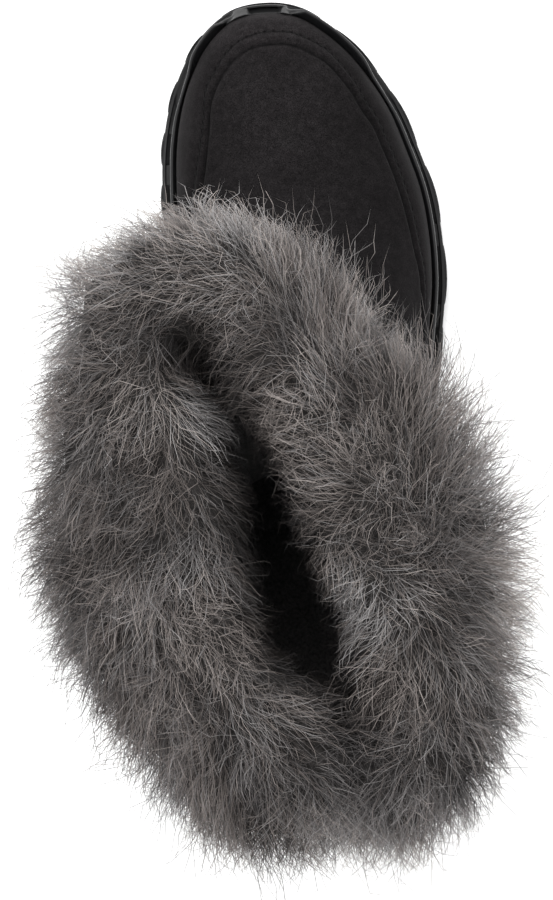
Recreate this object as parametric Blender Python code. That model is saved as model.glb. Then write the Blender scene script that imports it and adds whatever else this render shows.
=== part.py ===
# Right winter ankle boot: lugged rubber outsole, cupped midsole, insole, a
# hollow moccasin-toed upper with a slack shaft, and a deep fur collar.
#
# Working frame, in millimetres: q runs forward from the back of the heel,
# u runs sideways and is positive on the lateral (outer) side, z is height
# above the floor. place() turns it into the world frame, in metres, where the
# toe points along -Y, the medial (inner) side is +X, and +Z is up.

import bpy
import bmesh
import numpy as np
from math import pi, radians, sin, cos

# ------------------------------------------------------------------ sizes, mm
HEEL_BACK_Y = 132.2      # world Y of the back of the sole
CENTRE_X = 2.7           # world X of the line u = 0
GAP = 0.3                # clearance between neighbouring pieces
SIDE_STATIONS = 30       # points along each side of an outline

LUG_DEPTH = 5.0          # tread depth below the outsole's plate
LUG_PROUD = 0.75         # how far the side lugs stand out
EDGE_LUG_REACH = 15.0    # how far an edge lug runs in under the sole
LUG_TOP_DROP = 0.6       # side lugs stop this far below the outsole's top

OUTSOLE_TOP_HEEL = 14.0
OUTSOLE_TOP_FORE = 11.0
FLOOR_HEEL = 30.0        # top of the midsole's floor under the heel
FLOOR_FORE = 20.0        # and under the ball
RIM_HEIGHT = 9.0         # the midsole's rim above its floor
TOE_GUARD = 2.5          # extra height of the rim around the toe

TOE_SPRING = 11.0        # rise of the tread at the toe's tip
SPRING_START = 235.0     # where the toe starts to rise
ARCH_RISE = 4.0          # recess of the tread under the arch

SOLE_GROW = 0.95         # the sole's edge outside the charted outline
MIDSOLE_INSET = 4.6      # midsole's wall inside the sole's edge, at the sides
MIDSOLE_INSET_TOE = 3.5  # and at the toe guard
UPPER_INSET = 6.7        # upper inside the sole's edge, at the sides
UPPER_INSET_TOE = 6.3    # and at the toe
UPPER_WALL = 3.0         # leather and lining together
INSOLE_THICK = 4.0
INSOLE_CLEAR = 0.8

SHAFT_TOP = 232.0
FUR_BOTTOM = 150.0
FUR_INNER = 10.0         # pile on the inside of the shaft

SOLE_HEEL_TIP = (0.0, 8.0)
SOLE_TOE_TIP = (283.0, -1.0)
# The sole's edge, seen from above: a row for each station along the foot.
OUTLINE = [
    # q, medial, lateral
    (4.0, -10.0, 27.0),
    (12.0, -20.0, 36.5),
    (25.0, -26.0, 42.5),
    (40.0, -28.5, 45.0),
    (60.0, -29.5, 47.0),
    (80.0, -29.5, 49.5),
    (100.0, -30.0, 53.5),
    (120.0, -31.5, 57.3),
    (140.0, -34.0, 60.0),
    (160.0, -37.0, 62.0),
    (180.0, -40.0, 63.3),
    (200.0, -42.0, 61.8),
    (215.0, -42.7, 58.8),
    (230.0, -42.5, 53.4),
    (245.0, -40.2, 46.8),
    (258.0, -35.9, 38.2),
    (268.0, -30.6, 29.4),
    (276.0, -23.6, 19.4),
    (281.0, -15.6, 10.2),
]

# Top line of the foot, from the toe up the instep.
RIDGE = [
    # q, height
    (60.0, 150.0),
    (105.0, 128.0),
    (120.0, 111.0),
    (135.0, 98.0),
    (150.0, 87.0),
    (170.0, 74.0),
    (190.0, 64.0),
    (210.0, 59.0),
    (235.0, 55.0),
    (255.0, 53.0),
    (285.0, 52.0),
]

# The crown across the foot: how far in from the edge it takes to reach the
# top line, how square the shoulder is, and how high the side stands upright.
CROWN = [
    # q, reach, squareness, upright
    (0.0, 42.0, 2.0, 10.0),
    (120.0, 44.0, 1.9, 10.0),
    (190.0, 43.0, 2.0, 9.0),
    (235.0, 39.0, 2.2, 8.5),
    (283.0, 35.0, 2.3, 8.5),
]

# Horizontal sections of the ankle and the slack shaft.
SHAFT = [
    # z, centre q, centre u, half length, half width, turn in degrees, squareness
    (60.0, 60.0, 8.0, 52.0, 33.0, 0.0, 2.1),
    (95.0, 62.0, 7.0, 45.5, 33.0, 0.0, 2.1),
    (125.0, 66.0, 6.0, 46.5, 34.0, 3.0, 2.1),
    (160.0, 73.0, 4.0, 55.0, 34.5, 10.0, 2.15),
    (200.0, 83.0, 1.5, 67.0, 31.0, 18.0, 2.2),
    (232.0, 91.0, -1.0, 76.0, 27.0, 23.7, 2.2),
]

# Rings that the upper is lofted through. Low rings follow the midsole's floor.
FOOT_RINGS = [0.0, 6.0, 10.5]            # height above the floor
SWEEP_RINGS = [
    # height at the back, front point q, front point height
    (41.5, 272.0, 42.0),
    (43.0, 262.0, 49.0),
    (45.0, 246.0, 53.4),
    (47.5, 226.0, 56.2),
    (51.0, 204.0, 60.4),
    (56.0, 183.0, 67.0),
    (63.0, 163.0, 78.0),
    (73.0, 145.0, 91.0),
    (86.0, 130.0, 104.0),
    (103.0, 118.0, 118.0),
    (122.0, 115.0, 132.0),
    (150.0, 115.0, 150.0),
    (168.0, 120.0, 168.0),
    (186.0, 130.0, 186.0),
    (204.0, 140.0, 204.0),
    (218.0, 150.0, 218.0),
    (232.0, 160.0, 232.0),
]

# How far the fur stands out from the shaft, around it from the front (0)
# by the lateral side (90) and the back (180) to the medial side (270).
FUR_REACH = [
    # angle, reach
    (0.0, 45.0),
    (30.0, 38.0),
    (60.0, 37.0),
    (90.0, 41.0),
    (120.0, 39.0),
    (150.0, 38.0),
    (180.0, 37.0),
    (210.0, 37.0),
    (240.0, 41.0),
    (270.0, 43.0),
    (300.0, 38.0),
    (330.0, 38.0),
    (360.0, 45.0),
]
# The collar's section outside the shaft, from its lower edge over the crown.
FUR_SECTION = [
    # part of the reach, height
    (0.45, 146.0),
    (0.86, 156.0),
    (1.00, 180.0),
    (0.94, 205.0),
    (0.70, 229.0),
    (0.34, 245.0),
    (0.00, 249.0),
]
FUR_INNER_TOP = 241.0
FUR_INNER_BOTTOM = 196.0

# Side lugs: arc length from the toe's tip to the first, length of each, gap.
EDGE_LUGS = [
    # side, first, length, gap, count
    ("lateral", 26.5, 22.8, 8.2, 10),
    ("medial", 29.5, 12.6, 7.2, 15),
]
# Cross bars in the middle of the tread, each a shallow chevron.
CROSS_LUGS = [
    # first q, last q, count
    (34.0, 67.0, 3),
    (160.0, 251.0, 7),
]
CROSS_WIDTH = 7.0
CROSS_MARGIN = 19.0
CROSS_POINT = 6.0

# ------------------------------------------------------------------ materials
MATERIALS = {
    # name: (red, green, blue) linear, roughness
    "outsole": ((0.012, 0.012, 0.014), 0.55),
    "midsole": ((0.016, 0.016, 0.018), 0.42),
    "insole": ((0.020, 0.019, 0.019), 0.90),
    "upper": ((0.020, 0.018, 0.019), 0.85),
    "fur_collar": ((0.130, 0.118, 0.112), 0.90),
}


# ------------------------------------------------------------------ functions
def step(x, a, b):
    """0 below a, 1 above b, smooth between."""
    t = np.clip((np.asarray(x, float) - a) / (b - a), 0.0, 1.0)
    return t * t * (3.0 - 2.0 * t)


def along(table, x, column):
    """Read one column of a table at x, on a smooth curve through its rows."""
    t = np.array([row[0] for row in table], float)
    v = np.array([row[column] for row in table], float)
    slope = np.gradient(v, t)
    x = np.clip(np.asarray(x, float), t[0], t[-1])
    i = np.clip(np.searchsorted(t, x) - 1, 0, len(t) - 2)
    h = t[i + 1] - t[i]
    s = (x - t[i]) / h
    return ((2 * s**3 - 3 * s**2 + 1) * v[i] + (s**3 - 2 * s**2 + s) * h * slope[i]
            + (3 * s**2 - 2 * s**3) * v[i + 1] + (s**3 - s**2) * h * slope[i + 1])


def spring(q):
    return TOE_SPRING * (np.clip(np.asarray(q, float) - SPRING_START, 0, None)
                         / (SOLE_TOE_TIP[0] - SPRING_START)) ** 1.8


def tread(q):
    """Lowest surface of the lugs."""
    arch = ARCH_RISE * step(q, 78, 98) * (1 - step(q, 128, 148))
    back = 1.5 * (1 - step(q, 0, 7))
    return arch + back + spring(q)


def outsole_top(q):
    return OUTSOLE_TOP_HEEL + (OUTSOLE_TOP_FORE - OUTSOLE_TOP_HEEL) * step(q, 60, 165) + 0.95 * spring(q)


def floor(q):
    """Top of the midsole's floor, which carries the insole and the upper."""
    return FLOOR_HEEL + (FLOOR_FORE - FLOOR_HEEL) * step(q, 60, 170) + 0.85 * spring(q)


def rim(q):
    return floor(q) + RIM_HEIGHT + TOE_GUARD * step(q, 240, 262)


def upper_inset(q):
    return UPPER_INSET + (UPPER_INSET_TOE - UPPER_INSET) * step(q, 225, 272)


def midsole_inset(q):
    return MIDSOLE_INSET + (MIDSOLE_INSET_TOE - MIDSOLE_INSET) * step(q, 242, 268)


def closed_curve(points, per_span=10):
    """A smooth closed curve through the points."""
    p = np.asarray(points, float)
    n = len(p)
    out = []
    for i in range(n):
        a, b, c, d = p[i - 1], p[i], p[(i + 1) % n], p[(i + 2) % n]
        t = np.cumsum([0.0] + [np.linalg.norm(w - v) ** 0.5 for v, w in ((a, b), (b, c), (c, d))])
        for s in np.arange(per_span) / per_span:
            x = t[1] + (t[2] - t[1]) * s

            def mix(f, g, lo, hi):
                return ((t[hi] - x) * f + (x - t[lo]) * g) / (t[hi] - t[lo])
            ab, bc, cd = mix(a, b, 0, 1), mix(b, c, 1, 2), mix(c, d, 2, 3)
            out.append(mix(mix(ab, bc, 0, 2), mix(bc, cd, 1, 3), 1, 2))
    return np.array(out)


def sole_curve():
    """The sole's edge as a dense closed curve of (u, q): heel, lateral, toe, medial."""
    pts = [(SOLE_HEEL_TIP[1], SOLE_HEEL_TIP[0])]
    pts += [(row[2], row[0]) for row in OUTLINE]
    pts += [(SOLE_TOE_TIP[1], SOLE_TOE_TIP[0])]
    pts += [(row[1], row[0]) for row in reversed(OUTLINE)]
    return closed_curve(pts)


def inset(curve, distance):
    """The curve moved inward; distance is a number or a function of q."""
    tangent = np.roll(curve, -1, 0) - np.roll(curve, 1, 0)
    tangent /= np.linalg.norm(tangent, axis=1)[:, None]
    inward = np.stack([-tangent[:, 1], tangent[:, 0]], 1)
    d = distance(curve[:, 1]) if callable(distance) else np.full(len(curve), distance)
    return curve + inward * d[:, None]


def stations(curve, n=SIDE_STATIONS):
    """2n points of the curve: the back, the lateral side, the front, the medial side.

    Points i and 2n - i lie at one q, so a cap can be laid in straight rungs.
    """
    back, front = int(np.argmin(curve[:, 1])), int(np.argmax(curve[:, 1]))
    order = np.roll(curve, -back, 0)
    turn = (front - back) % len(curve)
    lateral, medial = order[:turn + 1], np.vstack([order[turn:], order[:1]])
    part = (1 - np.cos(pi * np.arange(n + 1) / n)) / 2
    q = curve[back, 1] + (curve[front, 1] - curve[back, 1]) * part
    lat = np.stack([np.interp(q, lateral[:, 1], lateral[:, 0]), q], 1)
    med = np.stack([np.interp(q, medial[::-1, 1], medial[::-1, 0]), q], 1)
    return np.vstack([lat, med[-2:0:-1]])


def inside_distance(curve, u, q):
    """Distance in from the closed curve; negative outside."""
    p = np.stack([np.ravel(u), np.ravel(q)], 1)
    a, b = curve, np.roll(curve, -1, 0)
    ab = b - a
    out = np.empty(len(p))
    for k in range(0, len(p), 4000):
        r = p[k:k + 4000, None, :] - a[None]
        t = np.clip((r * ab).sum(2) / (ab * ab).sum(1), 0, 1)
        dist = np.linalg.norm(r - t[..., None] * ab, axis=2).min(1)
        y = p[k:k + 4000, None, 1]
        cross = (a[:, 1] > y) != (b[:, 1] > y)
        with np.errstate(divide="ignore", invalid="ignore"):
            x = a[:, 0] + (y - a[:, 1]) * ab[:, 0] / ab[:, 1]
        odd = (cross & (p[k:k + 4000, None, 0] < x)).sum(1) % 2 == 1
        out[k:k + 4000] = np.where(odd, dist, -dist)
    return out.reshape(np.shape(u))


SOLE = inset(sole_curve(), -SOLE_GROW)
FEATHER = inset(SOLE, upper_inset)       # where the upper meets the midsole


def shaft_axes(z):
    """Centre, forward axis, lateral axis, half sizes and squareness at height z."""
    qc, uc, b, a, turn, m = (along(SHAFT, z, c) for c in range(1, 7))
    turn = np.radians(turn)
    return uc, qc, np.sin(turn), np.cos(turn), b, a, m


def last(u, q, z):
    """How far inside the upper's outer surface a point is; zero on the surface."""
    u, q, z = np.broadcast_arrays(*(np.asarray(v, float) for v in (u, q, z)))
    upright = floor(q) + along(CROWN, q, 3)
    top = along(RIDGE, q, 1)
    y = np.clip((z - upright) / (top - upright), 0, 1)
    p = along(CROWN, q, 2)
    lean = along(CROWN, q, 1) * (1 - (1 - y ** p) ** (1 / p)) + np.clip(z - top, 0, None)
    foot = inside_distance(FEATHER, u, q) - lean
    uc, qc, s, c, b, a, m = shaft_axes(z)
    du, dq = u - uc, q - qc
    fore, side = dq * c - du * s, dq * s + du * c
    r = np.hypot(du, dq) + 1e-9
    rho = (np.abs(fore / b) ** m + np.abs(side / a) ** m) ** (1 / m) + 1e-9
    leg = r / rho - r - np.clip(60 - z, 0, None) * 0.6
    k = 5 + 21 * step(q, 70, 115)
    near = np.clip(1 - np.abs(foot - leg) / k, 0, 1)
    return np.maximum(foot, leg) + k * 0.25 * near ** 2


def ring_height(row, q):
    back, front_q, front_z = row
    return back + (np.asarray(q, float) - 10.0) * (front_z - back) / (front_q - 10.0)


def shaft_point(z, n):
    """2n points of the shaft's section at height z, ordered as stations() orders them."""
    uc, qc, s, c, b, a, m = (float(v) for v in shaft_axes(z))
    out = []
    for i in range(2 * n):
        t = pi * (1 - i / n)
        cx, sx = cos(t), sin(t)
        f = b * np.sign(cx) * abs(cx) ** (2 / m)
        w = a * np.sign(sx) * abs(sx) ** (2 / m)
        out.append((uc + w * c - f * s, qc + f * c + w * s))
    return np.array(out)


def outer_ring(row, n=SIDE_STATIONS):
    """The upper's outer surface where a slanting section cuts it."""
    blend = float(step(row[0], 42, 150))
    height = min(max(row[2], 60.0), SHAFT_TOP)
    low = stations(FEATHER, n)
    high = shaft_point(height, n)
    uc, qc = float(along(SHAFT, height, 2)), float(along(SHAFT, height, 1))
    centre = np.array([5.0, 112.0]) * (1 - blend) + np.array([uc, qc]) * blend
    aim = low * (1 - blend) + high * blend - centre
    aim /= np.linalg.norm(aim, axis=1)[:, None]
    reach = np.linspace(0, 200, 161)
    pts = centre + aim[:, None, :] * reach[None, :, None]
    z = ring_height(row, pts[..., 1])
    f = last(pts[..., 0], pts[..., 1], z)
    first = np.argmax(f < 0, axis=1)
    lo, hi = reach[first - 1], reach[first]
    for _ in range(22):
        mid = (lo + hi) / 2
        p = centre + aim * mid[:, None]
        inside = last(p[:, 0], p[:, 1], ring_height(row, p[:, 1])) > 0
        lo, hi = np.where(inside, mid, lo), np.where(inside, hi, mid)
    p = centre + aim * lo[:, None]
    return np.column_stack([p, ring_height(row, p[:, 1])])


def upper_rings():
    """Outer rings from the midsole's floor to the collar, and their inner twins."""
    base = stations(FEATHER)
    rings = [np.column_stack([base, floor(base[:, 1]) + GAP + h]) for h in FOOT_RINGS]
    rings += [outer_ring(row) for row in SWEEP_RINGS]
    grid = np.array(rings)
    around = np.roll(grid, -1, 1) - np.roll(grid, 1, 1)
    up = np.gradient(grid, axis=0)
    normal = np.cross(around, up)
    level = np.arange(len(rings))
    flat = (level < len(FOOT_RINGS)) | (level >= len(rings) - 6)
    normal[flat] = np.cross(around[flat], np.array([0, 0, 1.0]))
    normal /= np.linalg.norm(normal, axis=2)[..., None]
    return grid, normal


def place(points):
    """Working frame in mm to world frame in metres."""
    p = np.asarray(points, float)
    return np.column_stack([CENTRE_X - p[:, 0], HEEL_BACK_Y - p[:, 1], p[:, 2]]) * 0.001


def material(name):
    colour, rough = MATERIALS[name]
    m = bpy.data.materials.new(name)
    m.use_nodes = True
    bsdf = m.node_tree.nodes["Principled BSDF"]
    bsdf.inputs["Base Color"].default_value = (*colour, 1)
    bsdf.inputs["Roughness"].default_value = rough
    bsdf.inputs["Metallic"].default_value = 0.0
    m.diffuse_color = (*colour, 1)
    return m


def add_object(name, bm, smooth=True):
    bmesh.ops.recalc_face_normals(bm, faces=bm.faces)
    mesh = bpy.data.meshes.new(name)
    bm.to_mesh(mesh)
    bm.free()
    if smooth:
        mesh.shade_smooth()
        mesh.set_sharp_from_angle(angle=radians(35))
    ob = bpy.data.objects.new(name, mesh)
    bpy.context.scene.collection.objects.link(ob)
    return ob


def skin(name, rings, wrap):
    """A closed solid lofted through rings of equal count.

    With wrap the last ring joins the first; otherwise both ends are capped
    with straight rungs across the foot.
    """
    bm = bmesh.new()
    rows = [[bm.verts.new(co) for co in place(r)] for r in rings]
    count = len(rows[0])
    pairs = list(zip(rows, rows[1:])) + ([(rows[-1], rows[0])] if wrap else [])
    for a, b in pairs:
        for i in range(count):
            j = (i + 1) % count
            bm.faces.new((a[i], a[j], b[j]))
            bm.faces.new((a[i], b[j], b[i]))
    if not wrap:
        half = count // 2
        for row in (rows[0], rows[-1]):
            bm.faces.new((row[0], row[1], row[-1]))
            bm.faces.new((row[half], row[half + 1], row[half - 1]))
            for i in range(1, half - 1):
                a, b, c, d = row[i], row[i + 1], row[count - i - 1], row[count - i]
                bm.faces.new((a, b, c))
                bm.faces.new((a, c, d))
    return add_object(name, bm)


def level_ring(curve, height):
    p = stations(curve)
    return np.column_stack([p, height(p[:, 1])])


# ------------------------------------------------------------------ the pieces
def edge_arc(side):
    """One side of the sole's edge from the toe's tip to the heel, with arc length."""
    back, front = int(np.argmin(SOLE[:, 1])), int(np.argmax(SOLE[:, 1]))
    loop = np.roll(SOLE, -front, 0)
    turn = (back - front) % len(SOLE)
    path = loop[:turn + 1] if side == "medial" else np.vstack([loop[turn:], loop[:1]])[::-1]
    arc = np.concatenate([[0], np.cumsum(np.linalg.norm(np.diff(path, axis=0), axis=1))])
    return path, arc


def prism(bm, plan, bottom, top):
    """A block between two height functions, on a plan polygon of (u, q)."""
    plan = np.asarray(plan, float)
    low = place(np.column_stack([plan, bottom(plan[:, 1])]))
    high = place(np.column_stack([plan, top(plan[:, 1])]))
    lo = [bm.verts.new(p) for p in low]
    hi = [bm.verts.new(p) for p in high]
    n = len(plan)
    for i in range(n):
        j = (i + 1) % n
        bm.faces.new((lo[i], lo[j], hi[j]))
        bm.faces.new((lo[i], hi[j], hi[i]))
    half = n // 2
    for i in range(half - 1):
        a, b, c, d = i, i + 1, n - 2 - i, n - 1 - i
        for row in (lo, hi):
            bm.faces.new((row[a], row[b], row[c]))
            bm.faces.new((row[a], row[c], row[d]))


def lug_plan(path, arc, start, end, points):
    """Edge lug: along the sole's edge outside, and EDGE_LUG_REACH in under it."""
    s = np.linspace(start, end, points)
    outer = np.stack([np.interp(s, arc, path[:, 0]), np.interp(s, arc, path[:, 1])], 1)
    tangent = np.gradient(outer, axis=0)
    tangent /= np.linalg.norm(tangent, axis=1)[:, None]
    inward = np.stack([tangent[:, 1], -tangent[:, 0]], 1)
    middle = np.array([float(np.interp(outer[points // 2, 1], [0, 283], [8, -1])), outer[points // 2, 1]])
    if np.dot(inward[points // 2], middle - outer[points // 2]) < 0:
        inward = -inward
    shrink = np.linspace(0.8, -0.8, points)[:, None] * tangent
    inner = outer + inward * EDGE_LUG_REACH + shrink
    return np.vstack([outer, inner[::-1]])


def build_outsole():
    under = inset(SOLE, LUG_PROUD)

    def plate(q):
        return tread(q) + LUG_DEPTH
    body = skin("outsole", [level_ring(under, plate), level_ring(under, outsole_top)], False)

    bm = bmesh.new()

    def lug_top(q):
        return outsole_top(q) - LUG_TOP_DROP

    def bar_top(q):
        return plate(q) + 1.0
    for side, first, length, gap, count in EDGE_LUGS:
        path, arc = edge_arc(side)
        for i in range(count):
            start = first + i * (length + gap)
            if start + length > arc[-1] - 14:
                break
            prism(bm, lug_plan(path, arc, start, start + length, 4), tread, lug_top)
    # one lug around the toe's tip, and one around the back of the heel
    lat, lat_arc = edge_arc("lateral")
    med, med_arc = edge_arc("medial")
    for tip in ("toe", "heel"):
        if tip == "toe":
            path = np.vstack([med[::-1], lat[1:]])
        else:
            path = np.vstack([lat, med[::-1][1:]])
        arc = np.concatenate([[0], np.cumsum(np.linalg.norm(np.diff(path, axis=0), axis=1))])
        mid = med_arc[-1] if tip == "toe" else lat_arc[-1]
        wide = 20.0 if tip == "toe" else 11.0
        plan = lug_plan(path, arc, mid - wide, mid + wide, 7)
        prism(bm, plan, tread, lug_top)
    across = np.arange(-60.0, 80.0, 0.5)
    for first, end, count in CROSS_LUGS:
        for q in np.linspace(first, end, count):
            w, v = CROSS_WIDTH / 2, CROSS_POINT
            deep = np.minimum(inside_distance(SOLE, across, np.full(len(across), q - w - v)),
                              inside_distance(SOLE, across, np.full(len(across), q + w)))
            clear = across[deep > CROSS_MARGIN]
            lo, hi = clear[0], clear[-1]
            mid = (lo + hi) / 2
            plan = [(lo, q - w - v), (mid, q - w), (hi, q - w - v),
                    (hi, q + w - v), (mid, q + w), (lo, q + w - v)]
            prism(bm, plan, tread, bar_top)
    lugs = add_object("outsole_lugs", bm)
    lugs.hide_render = True
    lugs.display_type = "WIRE"
    union = body.modifiers.new("lugs", "BOOLEAN")
    union.operation = "UNION"
    union.solver = "EXACT"
    union.object = lugs
    return body


def build_midsole():
    wall = [
        # inset outside (-) or inside the midsole's wall, height function
        (0.0, lambda q: outsole_top(q) + GAP),
        (0.0, lambda q: rim(q) - 3.6),
        (-1.1, lambda q: rim(q) - 2.4),
        (-1.1, lambda q: rim(q) - 0.8),
        (-0.3, lambda q: rim(q)),
    ]
    rings = [level_ring(inset(SOLE, lambda q, d=d: midsole_inset(q) + d), h) for d, h in wall]
    groove = inset(SOLE, lambda q: 0.55 * midsole_inset(q) + 0.45 * (upper_inset(q) - GAP))
    cup = inset(SOLE, lambda q: upper_inset(q) - GAP)
    rings.append(level_ring(groove, lambda q: rim(q) - 0.4))
    rings.append(level_ring(cup, lambda q: rim(q) - 2.6))
    rings.append(level_ring(cup, floor))
    return skin("midsole", rings, False)


def build_insole():
    edge = inset(FEATHER, UPPER_WALL + INSOLE_CLEAR)
    return skin("insole", [level_ring(edge, lambda q: floor(q) + GAP),
                           level_ring(edge, lambda q: floor(q) + GAP + INSOLE_THICK)], False)


def build_upper(grid, normal):
    outer = list(grid)
    inner = list(grid - normal * UPPER_WALL)
    return skin("upper", outer + inner[::-1], True)


def build_fur(grid, normal):
    n = SIDE_STATIONS
    first = len(FOOT_RINGS) + [row[0] for row in SWEEP_RINGS].index(FUR_BOTTOM)
    rings = []
    # against the outside of the shaft, up to its edge
    for k in range(first, len(grid)):
        ring = grid[k] + normal[k] * GAP * 1.2
        if k == len(grid) - 1:
            ring = ring + np.array([0, 0, GAP * 1.2])
        rings.append(ring)
    # over the edge and down the inside
    for k in range(len(grid) - 1, len(grid) - 4, -1):
        ring = grid[k] - normal[k] * (UPPER_WALL + GAP * 1.2)
        if k == len(grid) - 1:
            ring = ring + np.array([0, 0, GAP * 1.2])
        rings.append(ring)
    # free inner side of the pile, around the narrow opening
    def inner_ring(z, thick):
        lower = shaft_point(min(z, SHAFT_TOP), n)
        uc, qc, s, c, b, a, m = (float(v) for v in shaft_axes(min(z, SHAFT_TOP)))
        d = lower - np.array([uc, qc])
        fore, side = d[:, 1] * c - d[:, 0] * s, d[:, 1] * s + d[:, 0] * c
        fore, side = fore * (b - thick) / b, side * (a - thick) / a
        return np.column_stack([uc + side * c - fore * s, qc + fore * c + side * s, np.full(2 * n, z)])
    thick = UPPER_WALL + FUR_INNER
    low = float(rings[-1][0, 2])
    rings.append(inner_ring(FUR_INNER_BOTTOM, UPPER_WALL + 0.55 * FUR_INNER))
    rings.append(inner_ring((FUR_INNER_BOTTOM + FUR_INNER_TOP) / 2 - 8, thick))
    rings.append(inner_ring(FUR_INNER_TOP - 12, thick))
    rings.append(inner_ring(FUR_INNER_TOP, 0.85 * thick))
    # crown and the free outer side
    reach = np.array([float(along(FUR_REACH, (180 - 180 * i / n) % 360, 1)) for i in range(2 * n)])
    for part, z in reversed(FUR_SECTION):
        k = int(np.clip(np.searchsorted([g[0, 2] for g in grid], min(z, SHAFT_TOP)) - 1, 0, len(grid) - 2))
        f = np.clip((min(z, SHAFT_TOP) - grid[k][:, 2]) / (grid[k + 1][:, 2] - grid[k][:, 2]), 0, 1)[:, None]
        wall = grid[k] * (1 - f) + grid[k + 1] * f
        ring = wall + normal[min(k + 1, len(grid) - 1)] * (reach * part)[:, None]
        ring[:, 2] = z
        rings.append(ring)
    return skin("fur_collar", rings, True)


def main():
    for ob in list(bpy.data.objects):
        bpy.data.objects.remove(ob, do_unlink=True)
    grid, normal = upper_rings()
    pieces = [build_outsole(), build_midsole(), build_insole(), build_upper(grid, normal), build_fur(grid, normal)]
    for ob in pieces:
        ob.data.materials.append(material(ob.name))


main()
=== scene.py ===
# Right winter ankle boot with a deep fur collar: the visible model.
#
# Working frame, in millimetres: q runs forward from the back of the heel,
# u runs sideways and is positive on the lateral (outer) side, z is height.
# place() turns it into the row frame in metres: toe along -Y, medial side +X.

import bpy
import bmesh
import numpy as np
from math import pi, radians, sin, cos
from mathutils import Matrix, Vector
from mathutils.bvhtree import BVHTree
from mathutils.kdtree import KDTree


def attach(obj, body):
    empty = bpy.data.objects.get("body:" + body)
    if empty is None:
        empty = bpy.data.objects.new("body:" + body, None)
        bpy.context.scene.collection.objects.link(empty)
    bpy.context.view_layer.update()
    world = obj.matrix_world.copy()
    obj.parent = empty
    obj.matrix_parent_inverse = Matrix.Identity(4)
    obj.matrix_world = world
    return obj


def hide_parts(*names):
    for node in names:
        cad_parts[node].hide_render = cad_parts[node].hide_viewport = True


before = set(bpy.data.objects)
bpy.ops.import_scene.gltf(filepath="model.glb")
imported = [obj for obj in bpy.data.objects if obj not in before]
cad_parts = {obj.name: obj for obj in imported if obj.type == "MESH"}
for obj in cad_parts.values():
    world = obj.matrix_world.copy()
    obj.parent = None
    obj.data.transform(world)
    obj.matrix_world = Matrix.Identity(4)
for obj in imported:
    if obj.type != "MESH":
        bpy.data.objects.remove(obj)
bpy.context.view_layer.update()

# ------------------------------------------------------------------ sizes, mm
HEEL_BACK_Y = 132.2
CENTRE_X = 2.7
GAP = 0.3

LUG_DEPTH = 5.0
LUG_PROUD = 0.75
LUG_SWELL = 0.55
EDGE_LUG_REACH = 15.0
LUG_TOP_DROP = 0.6
OUTSOLE_TOP_HEEL = 14.0
OUTSOLE_TOP_FORE = 11.0
FLOOR_HEEL = 30.0
FLOOR_FORE = 20.0
RIM_HEIGHT = 9.0
TOE_GUARD = 2.5
TOE_SPRING = 11.0
SPRING_START = 235.0
ARCH_RISE = 4.0
SOLE_GROW = 0.95
MIDSOLE_INSET = 4.6
MIDSOLE_INSET_TOE = 3.5
UPPER_INSET = 6.7
UPPER_INSET_TOE = 6.3
UPPER_WALL = 3.0
INSOLE_THICK = 4.0
INSOLE_CLEAR = 0.8
SHAFT_TOP = 232.0

SOLE_HEEL_TIP = (0.0, 8.0)
SOLE_TOE_TIP = (283.0, -1.0)
OUTLINE = [
    # q, medial, lateral
    (4.0, -10.0, 27.0), (12.0, -20.0, 36.5), (25.0, -26.0, 42.5), (40.0, -28.5, 45.0),
    (60.0, -29.5, 47.0), (80.0, -29.5, 49.5), (100.0, -30.0, 53.5), (120.0, -31.5, 57.3),
    (140.0, -34.0, 60.0), (160.0, -37.0, 62.0), (180.0, -40.0, 63.3), (200.0, -42.0, 61.8),
    (215.0, -42.7, 58.8), (230.0, -42.5, 53.4), (245.0, -40.2, 46.8), (258.0, -35.9, 38.2),
    (268.0, -30.6, 29.4), (276.0, -23.6, 19.4), (281.0, -15.6, 10.2),
]
RIDGE = [
    # q, height
    (60.0, 150.0), (105.0, 128.0), (120.0, 111.0), (135.0, 98.0), (150.0, 87.0), (170.0, 74.0),
    (190.0, 64.0), (210.0, 59.0), (235.0, 55.0), (255.0, 53.0), (285.0, 52.0),
]
CROWN = [
    # q, reach, squareness, upright
    (0.0, 42.0, 2.0, 10.0), (120.0, 44.0, 1.9, 10.0), (190.0, 43.0, 2.0, 9.0),
    (235.0, 39.0, 2.2, 8.5), (283.0, 35.0, 2.3, 8.5),
]
SHAFT = [
    # z, centre q, centre u, half length, half width, turn in degrees, squareness
    (60.0, 60.0, 8.0, 52.0, 33.0, 0.0, 2.1),
    (95.0, 62.0, 7.0, 45.5, 33.0, 0.0, 2.1),
    (125.0, 66.0, 6.0, 46.5, 34.0, 3.0, 2.1),
    (160.0, 73.0, 4.0, 55.0, 34.5, 10.0, 2.15),
    (200.0, 83.0, 1.5, 67.0, 31.0, 18.0, 2.2),
    (232.0, 91.0, -1.0, 76.0, 27.0, 23.7, 2.2),
]
SWEEP_RINGS = [
    # height at the back, front point q, front point height
    (41.5, 272.0, 42.0), (43.0, 262.0, 49.0), (45.0, 246.0, 53.4), (47.5, 226.0, 56.2),
    (51.0, 204.0, 60.4), (56.0, 183.0, 67.0), (63.0, 163.0, 78.0), (73.0, 145.0, 91.0),
    (86.0, 130.0, 104.0), (103.0, 118.0, 118.0), (122.0, 115.0, 132.0), (150.0, 115.0, 150.0),
    (168.0, 120.0, 168.0), (186.0, 130.0, 186.0), (204.0, 140.0, 204.0), (218.0, 150.0, 218.0),
    (232.0, 160.0, 232.0),
]
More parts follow.
